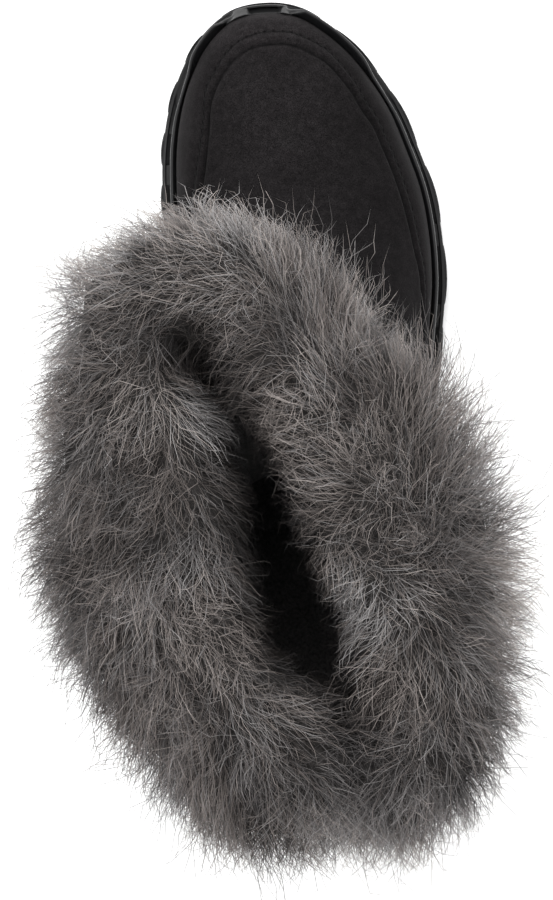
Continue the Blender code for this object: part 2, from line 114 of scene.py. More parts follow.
FUR_REACH = [
    # angle round the shaft from the front by the lateral side, reach
    (0.0, 45.0), (30.0, 38.0), (60.0, 37.0), (90.0, 41.0), (120.0, 39.0), (150.0, 38.0),
    (180.0, 37.0), (210.0, 37.0), (240.0, 41.0), (270.0, 43.0), (300.0, 38.0), (330.0, 38.0),
    (360.0, 45.0),
]
EDGE_LUGS = [
    # side, first, length, gap, count
    ("lateral", 26.5, 22.8, 8.2, 10),
    ("medial", 29.5, 12.6, 7.2, 15),
]
CROSS_LUGS = [
    # first q, last q, count
    (34.0, 67.0, 3),
    (160.0, 251.0, 7),
]
CROSS_WIDTH = 7.0
CROSS_MARGIN = 19.0
CROSS_POINT = 6.0

# The apron's seam on the vamp, seen from above, from the medial side round the
# toe to the lateral side. Behind SEAM_BLEND it goes on round the heel at a
# height above the midsole's floor.
APRON = [
    # u, q
    (-26.0, 140.0), (-28.6, 165.0), (-29.6, 181.0), (-29.6, 190.0), (-29.0, 200.0),
    (-27.4, 213.6), (-26.6, 219.0), (-25.2, 233.0), (-24.4, 244.0), (-19.8, 254.7),
    (-15.1, 260.3), (-9.7, 263.7), (-3.7, 265.3), (3.1, 265.5), (6.6, 264.9), (13.5, 262.0),
    (18.6, 259.0), (23.6, 253.8), (28.5, 247.4), (31.4, 242.1), (36.2, 235.2), (39.1, 228.3),
    (42.8, 219.6), (46.3, 209.2), (48.8, 200.0), (50.9, 189.4), (52.7, 181.1), (53.1, 165.0),
    (51.0, 140.0),
]
SEAM_BLEND = (135.0, 175.0)
SEAM_HEIGHT = 24.0
STITCH_PITCH = 3.4

# Soft folds in the ankle and the shaft, each a trough with a ridge above it.
# angle: round the shaft from the front (0) by the lateral side (90).
FOLDS = [
    # angle, half span, height, rise over the span, width, depth
    (0.0, 62.0, 119.0, -9.0, 4.4, 1.9),
    (8.0, 50.0, 108.0, -7.0, 3.6, 1.3),
    (-6.0, 70.0, 132.0, -12.0, 5.2, 1.7),
    (95.0, 34.0, 112.0, 7.0, 4.6, 1.2),
    (-98.0, 38.0, 108.0, 8.0, 4.8, 1.3),
    (140.0, 40.0, 121.0, -6.0, 5.0, 1.5),
    (-142.0, 38.0, 124.0, -5.0, 5.0, 1.4),
    (178.0, 46.0, 106.0, 3.0, 4.2, 1.1),
    (60.0, 30.0, 142.0, 6.0, 5.0, 1.2),
    (-64.0, 34.0, 146.0, 5.0, 5.0, 1.1),
]


# ------------------------------------------------------------------ functions
def step(x, a, b):
    t = np.clip((np.asarray(x, float) - a) / (b - a), 0.0, 1.0)
    return t * t * (3.0 - 2.0 * t)


def along(table, x, column):
    """Read one column of a table at x, on a smooth curve through its rows."""
    t = np.array([row[0] for row in table], float)
    v = np.array([row[column] for row in table], float)
    slope = np.gradient(v, t)
    x = np.clip(np.asarray(x, float), t[0], t[-1])
    i = np.clip(np.searchsorted(t, x) - 1, 0, len(t) - 2)
    h = t[i + 1] - t[i]
    s = (x - t[i]) / h
    return ((2 * s**3 - 3 * s**2 + 1) * v[i] + (s**3 - 2 * s**2 + s) * h * slope[i]
            + (3 * s**2 - 2 * s**3) * v[i + 1] + (s**3 - s**2) * h * slope[i + 1])


def spring(q):
    return TOE_SPRING * (np.clip(np.asarray(q, float) - SPRING_START, 0, None)
                         / (SOLE_TOE_TIP[0] - SPRING_START)) ** 1.8


def tread(q):
    arch = ARCH_RISE * step(q, 78, 98) * (1 - step(q, 128, 148))
    back = 1.5 * (1 - step(q, 0, 7))
    return arch + back + spring(q)


def outsole_top(q):
    return OUTSOLE_TOP_HEEL + (OUTSOLE_TOP_FORE - OUTSOLE_TOP_HEEL) * step(q, 60, 165) + 0.95 * spring(q)


def floor(q):
    return FLOOR_HEEL + (FLOOR_FORE - FLOOR_HEEL) * step(q, 60, 170) + 0.85 * spring(q)


def rim(q):
    return floor(q) + RIM_HEIGHT + TOE_GUARD * step(q, 240, 262)


def upper_inset(q):
    return UPPER_INSET + (UPPER_INSET_TOE - UPPER_INSET) * step(q, 225, 272)


def midsole_inset(q):
    return MIDSOLE_INSET + (MIDSOLE_INSET_TOE - MIDSOLE_INSET) * step(q, 242, 268)


def closed_curve(points, per_span=30):
    p = np.asarray(points, float)
    n = len(p)
    out = []
    for i in range(n):
        a, b, c, d = p[i - 1], p[i], p[(i + 1) % n], p[(i + 2) % n]
        t = np.cumsum([0.0] + [np.linalg.norm(w - v) ** 0.5 for v, w in ((a, b), (b, c), (c, d))])
        for s in np.arange(per_span) / per_span:
            x = t[1] + (t[2] - t[1]) * s

            def mix(f, g, lo, hi):
                return ((t[hi] - x) * f + (x - t[lo]) * g) / (t[hi] - t[lo])
            ab, bc, cd = mix(a, b, 0, 1), mix(b, c, 1, 2), mix(c, d, 2, 3)
            out.append(mix(mix(ab, bc, 0, 2), mix(bc, cd, 1, 3), 1, 2))
    return np.array(out)


def sole_curve(per_span=30):
    pts = [(SOLE_HEEL_TIP[1], SOLE_HEEL_TIP[0])]
    pts += [(row[2], row[0]) for row in OUTLINE]
    pts += [(SOLE_TOE_TIP[1], SOLE_TOE_TIP[0])]
    pts += [(row[1], row[0]) for row in reversed(OUTLINE)]
    return closed_curve(pts, per_span)


def inset(curve, distance):
    tangent = np.roll(curve, -1, 0) - np.roll(curve, 1, 0)
    tangent /= np.linalg.norm(tangent, axis=1)[:, None]
    inward = np.stack([-tangent[:, 1], tangent[:, 0]], 1)
    d = distance(curve[:, 1]) if callable(distance) else np.full(len(curve), distance)
    return curve + inward * d[:, None]


def stations(curve, n):
    """2n points: the back, the lateral side, the front, the medial side."""
    back, front = int(np.argmin(curve[:, 1])), int(np.argmax(curve[:, 1]))
    order = np.roll(curve, -back, 0)
    turn = (front - back) % len(curve)
    lateral, medial = order[:turn + 1], np.vstack([order[turn:], order[:1]])
    part = (1 - np.cos(pi * np.arange(n + 1) / n)) / 2
    q = curve[back, 1] + (curve[front, 1] - curve[back, 1]) * part
    lat = np.stack([np.interp(q, lateral[:, 1], lateral[:, 0]), q], 1)
    med = np.stack([np.interp(q, medial[::-1, 1], medial[::-1, 0]), q], 1)
    return np.vstack([lat, med[-2:0:-1]])


def inside_distance(curve, u, q):
    """Distance in from the closed curve; negative outside."""
    p = np.stack([np.ravel(u), np.ravel(q)], 1)
    a, b = curve, np.roll(curve, -1, 0)
    ab = b - a
    out = np.empty(len(p))
    for k in range(0, len(p), 3000):
        r = p[k:k + 3000, None, :] - a[None]
        t = np.clip((r * ab).sum(2) / (ab * ab).sum(1), 0, 1)
        dist = np.sqrt(((r - t[..., None] * ab) ** 2).sum(2)).min(1)
        y = p[k:k + 3000, None, 1]
        cross = (a[:, 1] > y) != (b[:, 1] > y)
        with np.errstate(divide="ignore", invalid="ignore"):
            x = a[:, 0] + (y - a[:, 1]) * ab[:, 0] / ab[:, 1]
        odd = (cross & (p[k:k + 3000, None, 0] < x)).sum(1) % 2 == 1
        out[k:k + 3000] = np.where(odd, dist, -dist)
    return out.reshape(np.shape(u))


SOLE = inset(sole_curve(), -SOLE_GROW)
FEATHER = inset(SOLE, upper_inset)

# The distance in from the feather line, on a grid 1 mm apart, read with cubics.
GRID_U0, GRID_Q0, GRID_U1, GRID_Q1 = -70.0, -25.0, 82.0, 300.0
_gu, _gq = np.meshgrid(np.arange(GRID_U0, GRID_U1 + 1), np.arange(GRID_Q0, GRID_Q1 + 1), indexing="ij")
FEATHER_GRID = inside_distance(FEATHER[::2], _gu, _gq)


def blurred(grid, sigma):
    """The grid softened both ways, with its border held."""
    r = int(3 * sigma)
    kernel = np.exp(-0.5 * (np.arange(-r, r + 1) / sigma) ** 2)
    kernel /= kernel.sum()
    for axis in (0, 1):
        pad = [(r, r) if a == axis else (0, 0) for a in (0, 1)]
        wide = np.pad(grid, pad, mode="edge")
        grid = sum(k * np.take(wide, range(i, i + grid.shape[axis]), axis=axis) for i, k in enumerate(kernel))
    return grid


# Along the middle of the foot the distance has a ridge; the leather rounds it.
_soft = step(FEATHER_GRID, 16.0, 34.0)
FEATHER_GRID = FEATHER_GRID * (1 - _soft) + blurred(FEATHER_GRID, 8.0) * _soft


def feather_distance(u, q, fine):
    x = np.clip(u - GRID_U0, 1.001, FEATHER_GRID.shape[0] - 3.001)
    y = np.clip(q - GRID_Q0, 1.001, FEATHER_GRID.shape[1] - 3.001)
    i, j = x.astype(int), y.astype(int)
    f, g = x - i, y - j
    if not fine:
        return ((FEATHER_GRID[i, j] * (1 - f) + FEATHER_GRID[i + 1, j] * f) * (1 - g)
                + (FEATHER_GRID[i, j + 1] * (1 - f) + FEATHER_GRID[i + 1, j + 1] * f) * g)

    def weights(t):
        return (((-0.5 * t + 1) * t - 0.5) * t, (1.5 * t - 2.5) * t * t + 1,
                ((-1.5 * t + 2) * t + 0.5) * t, (0.5 * t - 0.5) * t * t)
    wf, wg = weights(f), weights(g)
    total = 0.0
    for a in range(4):
        for b in range(4):
            total = total + wf[a] * wg[b] * FEATHER_GRID[i + a - 1, j + b - 1]
    return total


def shaft_axes(z):
    qc, uc, b, a, turn, m = (along(SHAFT, z, c) for c in range(1, 7))
    turn = np.radians(turn)
    return uc, qc, np.sin(turn), np.cos(turn), b, a, m


def last(u, q, z, fine=False):
    """How far inside the upper's outer surface a point is; zero on the surface."""
    upright = floor(q) + along(CROWN, q, 3)
    top = along(RIDGE, q, 1)
    y = np.clip((z - upright) / (top - upright), 0, 1)
    p = along(CROWN, q, 2)
    lean = along(CROWN, q, 1) * (1 - (1 - y ** p) ** (1 / p)) + np.clip(z - top, 0, None)
    foot = feather_distance(u, q, fine) - lean
    uc, qc, s, c, b, a, m = shaft_axes(z)
    du, dq = u - uc, q - qc
    fore, side = dq * c - du * s, dq * s + du * c
    r = np.hypot(du, dq) + 1e-9
    rho = (np.abs(fore / b) ** m + np.abs(side / a) ** m) ** (1 / m) + 1e-9
    leg = r / rho - r - np.clip(60 - z, 0, None) * 0.6
    k = 5 + 21 * step(q, 70, 115)
    near = np.clip(1 - np.abs(foot - leg) / k, 0, 1)
    return np.maximum(foot, leg) + k * 0.25 * near ** 2


def shaft_point(z, n):
    uc, qc, s, c, b, a, m = (float(v) for v in shaft_axes(z))
    t = pi * (1 - np.arange(2 * n) / n)
    cx, sx = np.cos(t), np.sin(t)
    f = b * np.sign(cx) * np.abs(cx) ** (2 / m)
    w = a * np.sign(sx) * np.abs(sx) ** (2 / m)
    return np.column_stack([uc + w * c - f * s, qc + f * c + w * s])


def sweep_row(x):
    """The slanting section at a fractional place in SWEEP_RINGS."""
    table = [(float(i), *row) for i, row in enumerate(SWEEP_RINGS)]
    return tuple(float(along(table, x, c)) for c in (1, 2, 3))


def surface_ring(height, row, low, n):
    """Where the section z = height(q) cuts the upper's outer surface."""
    blend = float(step(row[0], 42, 150))
    level = min(max(row[2], 60.0), SHAFT_TOP)
    high = shaft_point(level, n)
    uc, qc = float(along(SHAFT, level, 2)), float(along(SHAFT, level, 1))
    centre = np.array([5.0, 112.0]) * (1 - blend) + np.array([uc, qc]) * blend
    aim = low * (1 - blend) + high * blend - centre
    aim /= np.linalg.norm(aim, axis=1)[:, None]
    reach = np.arange(0.0, 206.0, 7.0)
    pts = centre + aim[:, None, :] * reach[None, :, None]
    f = last(pts[..., 0], pts[..., 1], height(pts[..., 1]))
    first = np.argmax(f < 0, axis=1)
    lo, hi = reach[first - 1], reach[first]
    for _ in range(13):
        mid = (lo + hi) / 2
        p = centre + aim * mid[:, None]
        inside = last(p[:, 0], p[:, 1], height(p[:, 1]), True) > 0
        lo, hi = np.where(inside, mid, lo), np.where(inside, hi, mid)
    p = centre + aim * lo[:, None]
    return np.column_stack([p, height(p[:, 1])])


def sweep_ring(x, low, n):
    row = sweep_row(x)

    def height(q):
        return row[0] + (np.asarray(q, float) - 10.0) * (row[2] - row[0]) / (row[1] - 10.0)
    return surface_ring(height, row, low, n)


def place(points):
    p = np.asarray(points, float)
    out = np.empty_like(p)
    out[..., 0] = CENTRE_X - p[..., 0]
    out[..., 1] = HEEL_BACK_Y - p[..., 1]
    out[..., 2] = p[..., 2]
    return out * 0.001


def unit(v):
    return v / np.maximum(np.linalg.norm(v, axis=-1, keepdims=True), 1e-12)


def hashed(i, j, k, seed):
    h = (i.astype(np.int64) * 73856093) ^ (j.astype(np.int64) * 19349663) ^ (k.astype(np.int64) * 83492791)
    h = (h ^ (seed * 40503)) & 0xFFFFFFFF
    h = ((h ^ (h >> 15)) * 2246822519) & 0xFFFFFFFF
    h = ((h ^ (h >> 13)) * 3266489917) & 0xFFFFFFFF
    h = h ^ (h >> 16)
    return h / 2147483648.0 - 1.0


def value_noise(p, size, seed):
    """Smooth noise from -1 to 1 with cells of the given size."""
    x = np.asarray(p, float) / size + 1000.0
    i = np.floor(x).astype(np.int64)
    f = x - i
    f = f * f * (3 - 2 * f)
    total = 0.0
    for a in (0, 1):
        for b in (0, 1):
            for c in (0, 1):
                w = ((f[..., 0] if a else 1 - f[..., 0]) * (f[..., 1] if b else 1 - f[..., 1])
                     * (f[..., 2] if c else 1 - f[..., 2]))
                total = total + w * hashed(i[..., 0] + a, i[..., 1] + b, i[..., 2] + c, seed)
    return total


def layered_noise(p, size, seed):
    return (value_noise(p, size, seed) + 0.5 * value_noise(p, size / 2.1, seed + 7)
            + 0.25 * value_noise(p, size / 4.3, seed + 13)) / 1.4


# ------------------------------------------------------------------ meshes
def mesh_object(name, verts, face_sets, materials, smooth=True, face_material=None, uv=None, floats=None,
                replaces=None):
    """A mesh from arrays; verts in the working frame, face_sets a list of (count, corners) arrays."""
    me = bpy.data.meshes.new(name)
    v = place(verts).astype(np.float32)
    me.vertices.add(len(v))
    me.vertices.foreach_set("co", v.ravel())
    corners = np.concatenate([np.asarray(f, np.int32).ravel() for f in face_sets])
    sizes = np.concatenate([np.full(len(f), np.asarray(f).shape[1], np.int32) for f in face_sets])
    starts = np.concatenate([[0], np.cumsum(sizes)[:-1]]).astype(np.int32)
    me.loops.add(len(corners))
    me.loops.foreach_set("vertex_index", corners)
    me.polygons.add(len(sizes))
    me.polygons.foreach_set("loop_start", starts)
    if face_material is not None:
        me.polygons.foreach_set("material_index", np.asarray(face_material, np.int32))
    me.update(calc_edges=True)
    if uv is not None:
        layer = me.uv_layers.new(name="OFBake")
        layer.data.foreach_set("uv", np.asarray(uv, np.float32)[corners].ravel())
    for key, values in (floats or {}).items():
        at = me.attributes.new(key, "FLOAT", "POINT")
        at.data.foreach_set("value", np.asarray(values, np.float32))
    if smooth:
        me.shade_smooth()
    ob = bpy.data.objects.new(name, me)
    bpy.context.scene.collection.objects.link(ob)
    for m in materials:
        me.materials.append(m)
    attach(ob, "root")
    if replaces:
        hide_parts(replaces)
    return ob


def loft_faces(count, around, wrap, first=0):
    """Quads that join rings of equal length, wound outward for rings listed upward."""
    r = np.arange(count if wrap else count - 1)[:, None]
    i = np.arange(around)[None, :]
    a = (r % count) * around + i
    b = (r % count) * around + (i + 1) % around
    c = ((r + 1) % count) * around + (i + 1) % around
    d = ((r + 1) % count) * around + i
    return np.stack([a, b, c, d], -1).reshape(-1, 4) + first


def cap_faces(start, around, up):
    """Straight rungs across a ring laid out by stations()."""
    half = around // 2
    quads = [(i, i + 1, around - i - 1, around - i) for i in range(1, half - 1)]
    tris = [(0, 1, around - 1), (half, half + 1, half - 1)]
    if not up:
        quads = [q[::-1] for q in quads]
        tris = [t[::-1] for t in tris]
    return np.array(quads) + start, np.array(tris) + start


def ring_normals(grid):
    around = np.roll(grid, -1, 1) - np.roll(grid, 1, 1)
    up = np.gradient(grid, axis=0)
    return unit(np.cross(around, up))


# ------------------------------------------------------------------ materials
class Nodes:
    """Short names for building a material's nodes."""

    def __init__(self, name):
        self.material = bpy.data.materials.new(name)
        self.material.use_nodes = True
        self.tree = self.material.node_tree
        self.shader = self.tree.nodes["Principled BSDF"]

    def add(self, kind, **values):
        node = self.tree.nodes.new(kind)
        for key, value in values.items():
            setattr(node, key, value)
        return node

    def link(self, a, b):
        self.tree.links.new(a, b)

    def set(self, **values):
        for key, value in values.items():
            self.shader.inputs[key.replace("_", " ")].default_value = value

    def position(self):
        return self.add("ShaderNodeTexCoord").outputs["Object"]

    def noise(self, scale, detail=3.0, rough=0.55, vector=None):
        n = self.add("ShaderNodeTexNoise")
        n.inputs["Scale"].default_value = scale
        n.inputs["Detail"].default_value = detail
        n.inputs["Roughness"].default_value = rough
        self.link(vector or self.position(), n.inputs["Vector"])
        return n.outputs["Fac"]

    def ramp(self, value, *stops):
        r = self.add("ShaderNodeValToRGB")
        e = r.color_ramp.elements
        while len(e) < len(stops):
            e.new(0.5)
        for el, (pos, colour) in zip(e, stops):
            el.position = pos
            el.color = (*colour, 1) if isinstance(colour, tuple) else (colour, colour, colour, 1)
        self.link(value, r.inputs["Fac"])
        return r.outputs["Color"]

    def math(self, operation, a, b=None, clamp=False):
        n = self.add("ShaderNodeMath", operation=operation, use_clamp=clamp)
        for socket, v in zip(n.inputs, (a, b)):
            if v is None:
                continue
            if isinstance(v, (int, float)):
                socket.default_value = v
            else:
                self.link(v, socket)
        return n.outputs[0]

    def mix(self, blend, factor, a, b):
        n = self.add("ShaderNodeMix", data_type="RGBA", blend_type=blend)
        ins = {"Factor": n.inputs[0], "A": n.inputs[6], "B": n.inputs[7]}
        for key, v in (("Factor", factor), ("A", a), ("B", b)):
            if isinstance(v, (int, float)):
                if key == "Factor":
                    ins[key].default_value = v
                else:
                    ins[key].default_value = (v, v, v, 1)
            elif isinstance(v, tuple):
                ins[key].default_value = (*v, 1)
            else:
                self.link(v, ins[key])
        return n.outputs[2]

    def attribute(self, name):
        return self.add("ShaderNodeAttribute", attribute_name=name).outputs["Fac"]

    def bump(self, height, strength, distance, normal=None):
        b = self.add("ShaderNodeBump")
        b.inputs["Strength"].default_value = strength
        b.inputs["Distance"].default_value = distance
        self.link(height, b.inputs["Height"])
        if normal is not None:
            self.link(normal, b.inputs["Normal"])
        return b.outputs["Normal"]


def nubuck_material():
    n = Nodes("nubuck_black")
    pos = n.position()
    mottle = n.noise(55.0, 4.0, 0.6, pos)
    small = n.noise(420.0, 3.0, 0.6, pos)
    nap = n.noise(2600.0, 2.0, 0.6, pos)
    base = n.ramp(mottle, (0.30, (0.0069, 0.0061, 0.0064)), (0.70, (0.0101, 0.0091, 0.0095)))
    base = n.mix("MULTIPLY", 1.0, base, n.ramp(small, (0.30, 0.64), (0.72, 1.34)))
    base = n.mix("MULTIPLY", 1.0, base, n.ramp(nap, (0.30, 0.22), (0.70, 2.05)))
    # painted light and shade: the vamp is lighter along its middle and darker towards its sides
    base = n.mix("MULTIPLY", 1.0, base, n.ramp(n.attribute("painted_vamp_light"), (0.0, 0.0), (1.0, 2.0)))
    # the seam's bottom is darker: partly the dark joint, partly painted shade in its trough
    d = n.attribute("seam_d")
    line = n.math("SUBTRACT", 1.0, n.math("MULTIPLY", n.math("ABSOLUTE", d), 1 / 1.15), True)
    line = n.math("MULTIPLY", line, n.ramp(n.noise(300.0, 2.0, 0.6, pos), (0.30, 0.50), (0.62, 1.0)))
    base = n.mix("MIX", n.math("MULTIPLY", line, 0.92), base, (0.0014, 0.0014, 0.0015))
    # painted shade: the stitch row's groove is darker
    soft = n.math("SUBTRACT", 1.0, n.math("MULTIPLY", n.math("ABSOLUTE", n.attribute("stitch_d")), 1 / 1.1), True)
    base = n.mix("MIX", n.math("MULTIPLY", soft, 0.35), base, (0.0030, 0.0028, 0.0030))
    # stitch holes: dark dots along the stitch row
    s = n.math("FRACT", n.math("MULTIPLY", n.attribute("stitch_s"), 1 / STITCH_PITCH))
    s = n.math("MULTIPLY", n.math("ABSOLUTE", n.math("SUBTRACT", s, 0.5)), STITCH_PITCH)
    t = n.attribute("stitch_d")
    far = n.math("SQRT", n.math("ADD", n.math("POWER", s, 2.0), n.math("POWER", n.math("ABSOLUTE", t), 2.0)))
    hole = n.math("SUBTRACT", 1.0, n.math("MULTIPLY", n.math("SUBTRACT", far, 0.35), 1 / 0.45), True)
    base = n.mix("MIX", n.math("MULTIPLY", hole, 0.70), base, (0.0008, 0.0008, 0.0009))
    n.link(base, n.shader.inputs["Base Color"])
    n.link(n.ramp(small, (0.2, 0.86), (0.8, 0.97)), n.shader.inputs["Roughness"])
    relief = n.math("ADD", n.math("MULTIPLY", nap, 0.55), n.math("MULTIPLY", small, 0.6))
    relief = n.math("SUBTRACT", relief, n.math("MULTIPLY", hole, 1.6))
    n.link(n.bump(relief, 0.55, 0.00028), n.shader.inputs["Normal"])
    n.set(Sheen_Weight=0.02, Sheen_Roughness=0.45, Specular_IOR_Level=0.07)
    n.shader.inputs["Sheen Tint"].default_value = (0.80, 0.76, 0.78, 1)
    return n.material


def lining_material(name="lining_fleece", tone=0.010):
    n = Nodes(name)
    pos = n.position()
    curl = n.noise(900.0, 3.0, 0.65, pos)
    soft = n.noise(190.0, 2.0, 0.5, pos)
    base = n.ramp(curl, (0.30, (tone * 0.5,) * 3), (0.72, (tone * 1.6, tone * 1.5, tone * 1.5)))
    n.link(base, n.shader.inputs["Base Color"])
    n.set(Roughness=0.95, Specular_IOR_Level=0.1, Sheen_Weight=0.12, Sheen_Roughness=0.6)
    n.link(n.bump(n.math("ADD", curl, n.math("MULTIPLY", soft, 0.8)), 0.8, 0.0008), n.shader.inputs["Normal"])
    return n.material


def rubber_material(name, tone, gloss, coat):
    n = Nodes(name)
    pos = n.position()
    cloud = n.noise(70.0, 3.0, 0.6, pos)
    grain = n.noise(1500.0, 2.0, 0.6, pos)
    dust = n.noise(260.0, 5.0, 0.7, pos)
    base = n.ramp(cloud, (0.3, (tone * 0.85, tone * 0.86, tone * 0.92)), (0.7, (tone * 1.2, tone * 1.2, tone * 1.3)))
    base = n.mix("MIX", n.ramp(dust, (0.60, 0.0), (0.80, 0.35)), base, (tone * 2.3, tone * 2.2, tone * 2.2))
    n.link(base, n.shader.inputs["Base Color"])
    n.link(n.ramp(dust, (0.30, gloss), (0.75, gloss + 0.22)), n.shader.inputs["Roughness"])
    n.link(n.bump(n.math("ADD", n.math("MULTIPLY", grain, 0.6), dust), 0.25, 0.00016), n.shader.inputs["Normal"])
    n.set(Specular_IOR_Level=0.30, Coat_Weight=coat, Coat_Roughness=0.22)
    return n.material


def thread_material():
    n = Nodes("thread_black")
    pos = n.position()
    twist = n.noise(2400.0, 2.0, 0.6, pos)
    n.link(n.ramp(twist, (0.3, 0.0022), (0.7, 0.0065)), n.shader.inputs["Base Color"])
    n.link(n.bump(twist, 0.5, 0.0001), n.shader.inputs["Normal"])
    n.set(Roughness=0.75, Specular_IOR_Level=0.12)
    return n.material


def fur_material():
    """Colour depends on the strand's tone (U) and on the place along it (V)."""
    n = Nodes("fur_pile")
    uv = n.add("ShaderNodeUVMap", uv_map="OFBake").outputs["UV"]
    split = n.add("ShaderNodeSeparateXYZ")
    n.link(uv, split.inputs[0])
    tone = n.ramp(split.outputs["X"], (0.0, (0.010, 0.009, 0.009)), (0.25, (0.075, 0.0675, 0.0655)),
                  (0.5, (0.190, 0.174, 0.168)), (0.75, (0.340, 0.318, 0.309)), (1.0, (0.54, 0.515, 0.50)))
    # darker towards the root: partly the hair's own darker base, partly painted shade deep in the pile
    root = n.ramp(split.outputs["Y"], (0.0, 0.18), (0.25, 0.42), (0.5, 0.78), (0.8, 1.0), (1.0, 1.0))
    odd = n.math("GREATER_THAN", n.math("FRACT", n.math("MULTIPLY", split.outputs["X"], 16.0)), 0.5)
    hue = n.mix("MIX", odd, (0.975, 0.995, 1.02), (1.035, 0.985, 0.955))
    n.link(n.mix("MULTIPLY", 1.0, n.mix("MULTIPLY", 1.0, tone, root), hue), n.shader.inputs["Base Color"])
    n.set(Roughness=0.62, Specular_IOR_Level=0.22)
    return n.material


def pile_backing_material():
    n = Nodes("fur_backing")
    pos = n.position()
    streak = n.noise(700.0, 3.0, 0.6, pos)
    n.link(n.ramp(streak, (0.3, (0.014, 0.0128, 0.0124)), (0.7, (0.040, 0.0370, 0.0358))), n.shader.inputs["Base Color"])
    n.set(Roughness=0.95, Specular_IOR_Level=0.1)
    n.link(n.bump(streak, 0.7, 0.0008), n.shader.inputs["Normal"])
    return n.material


NUBUCK = nubuck_material()
LINING = lining_material("lining_fleece", 0.110)
SOCK = lining_material("sock_fleece", 0.110)
THREAD = thread_material()
RIM_RUBBER = rubber_material("rubber_rim", 0.0070, 0.30, 0.0)
TREAD_RUBBER = rubber_material("rubber_tread", 0.0065, 0.36, 0.0)
FUR = fur_material()
BACKING = pile_backing_material()


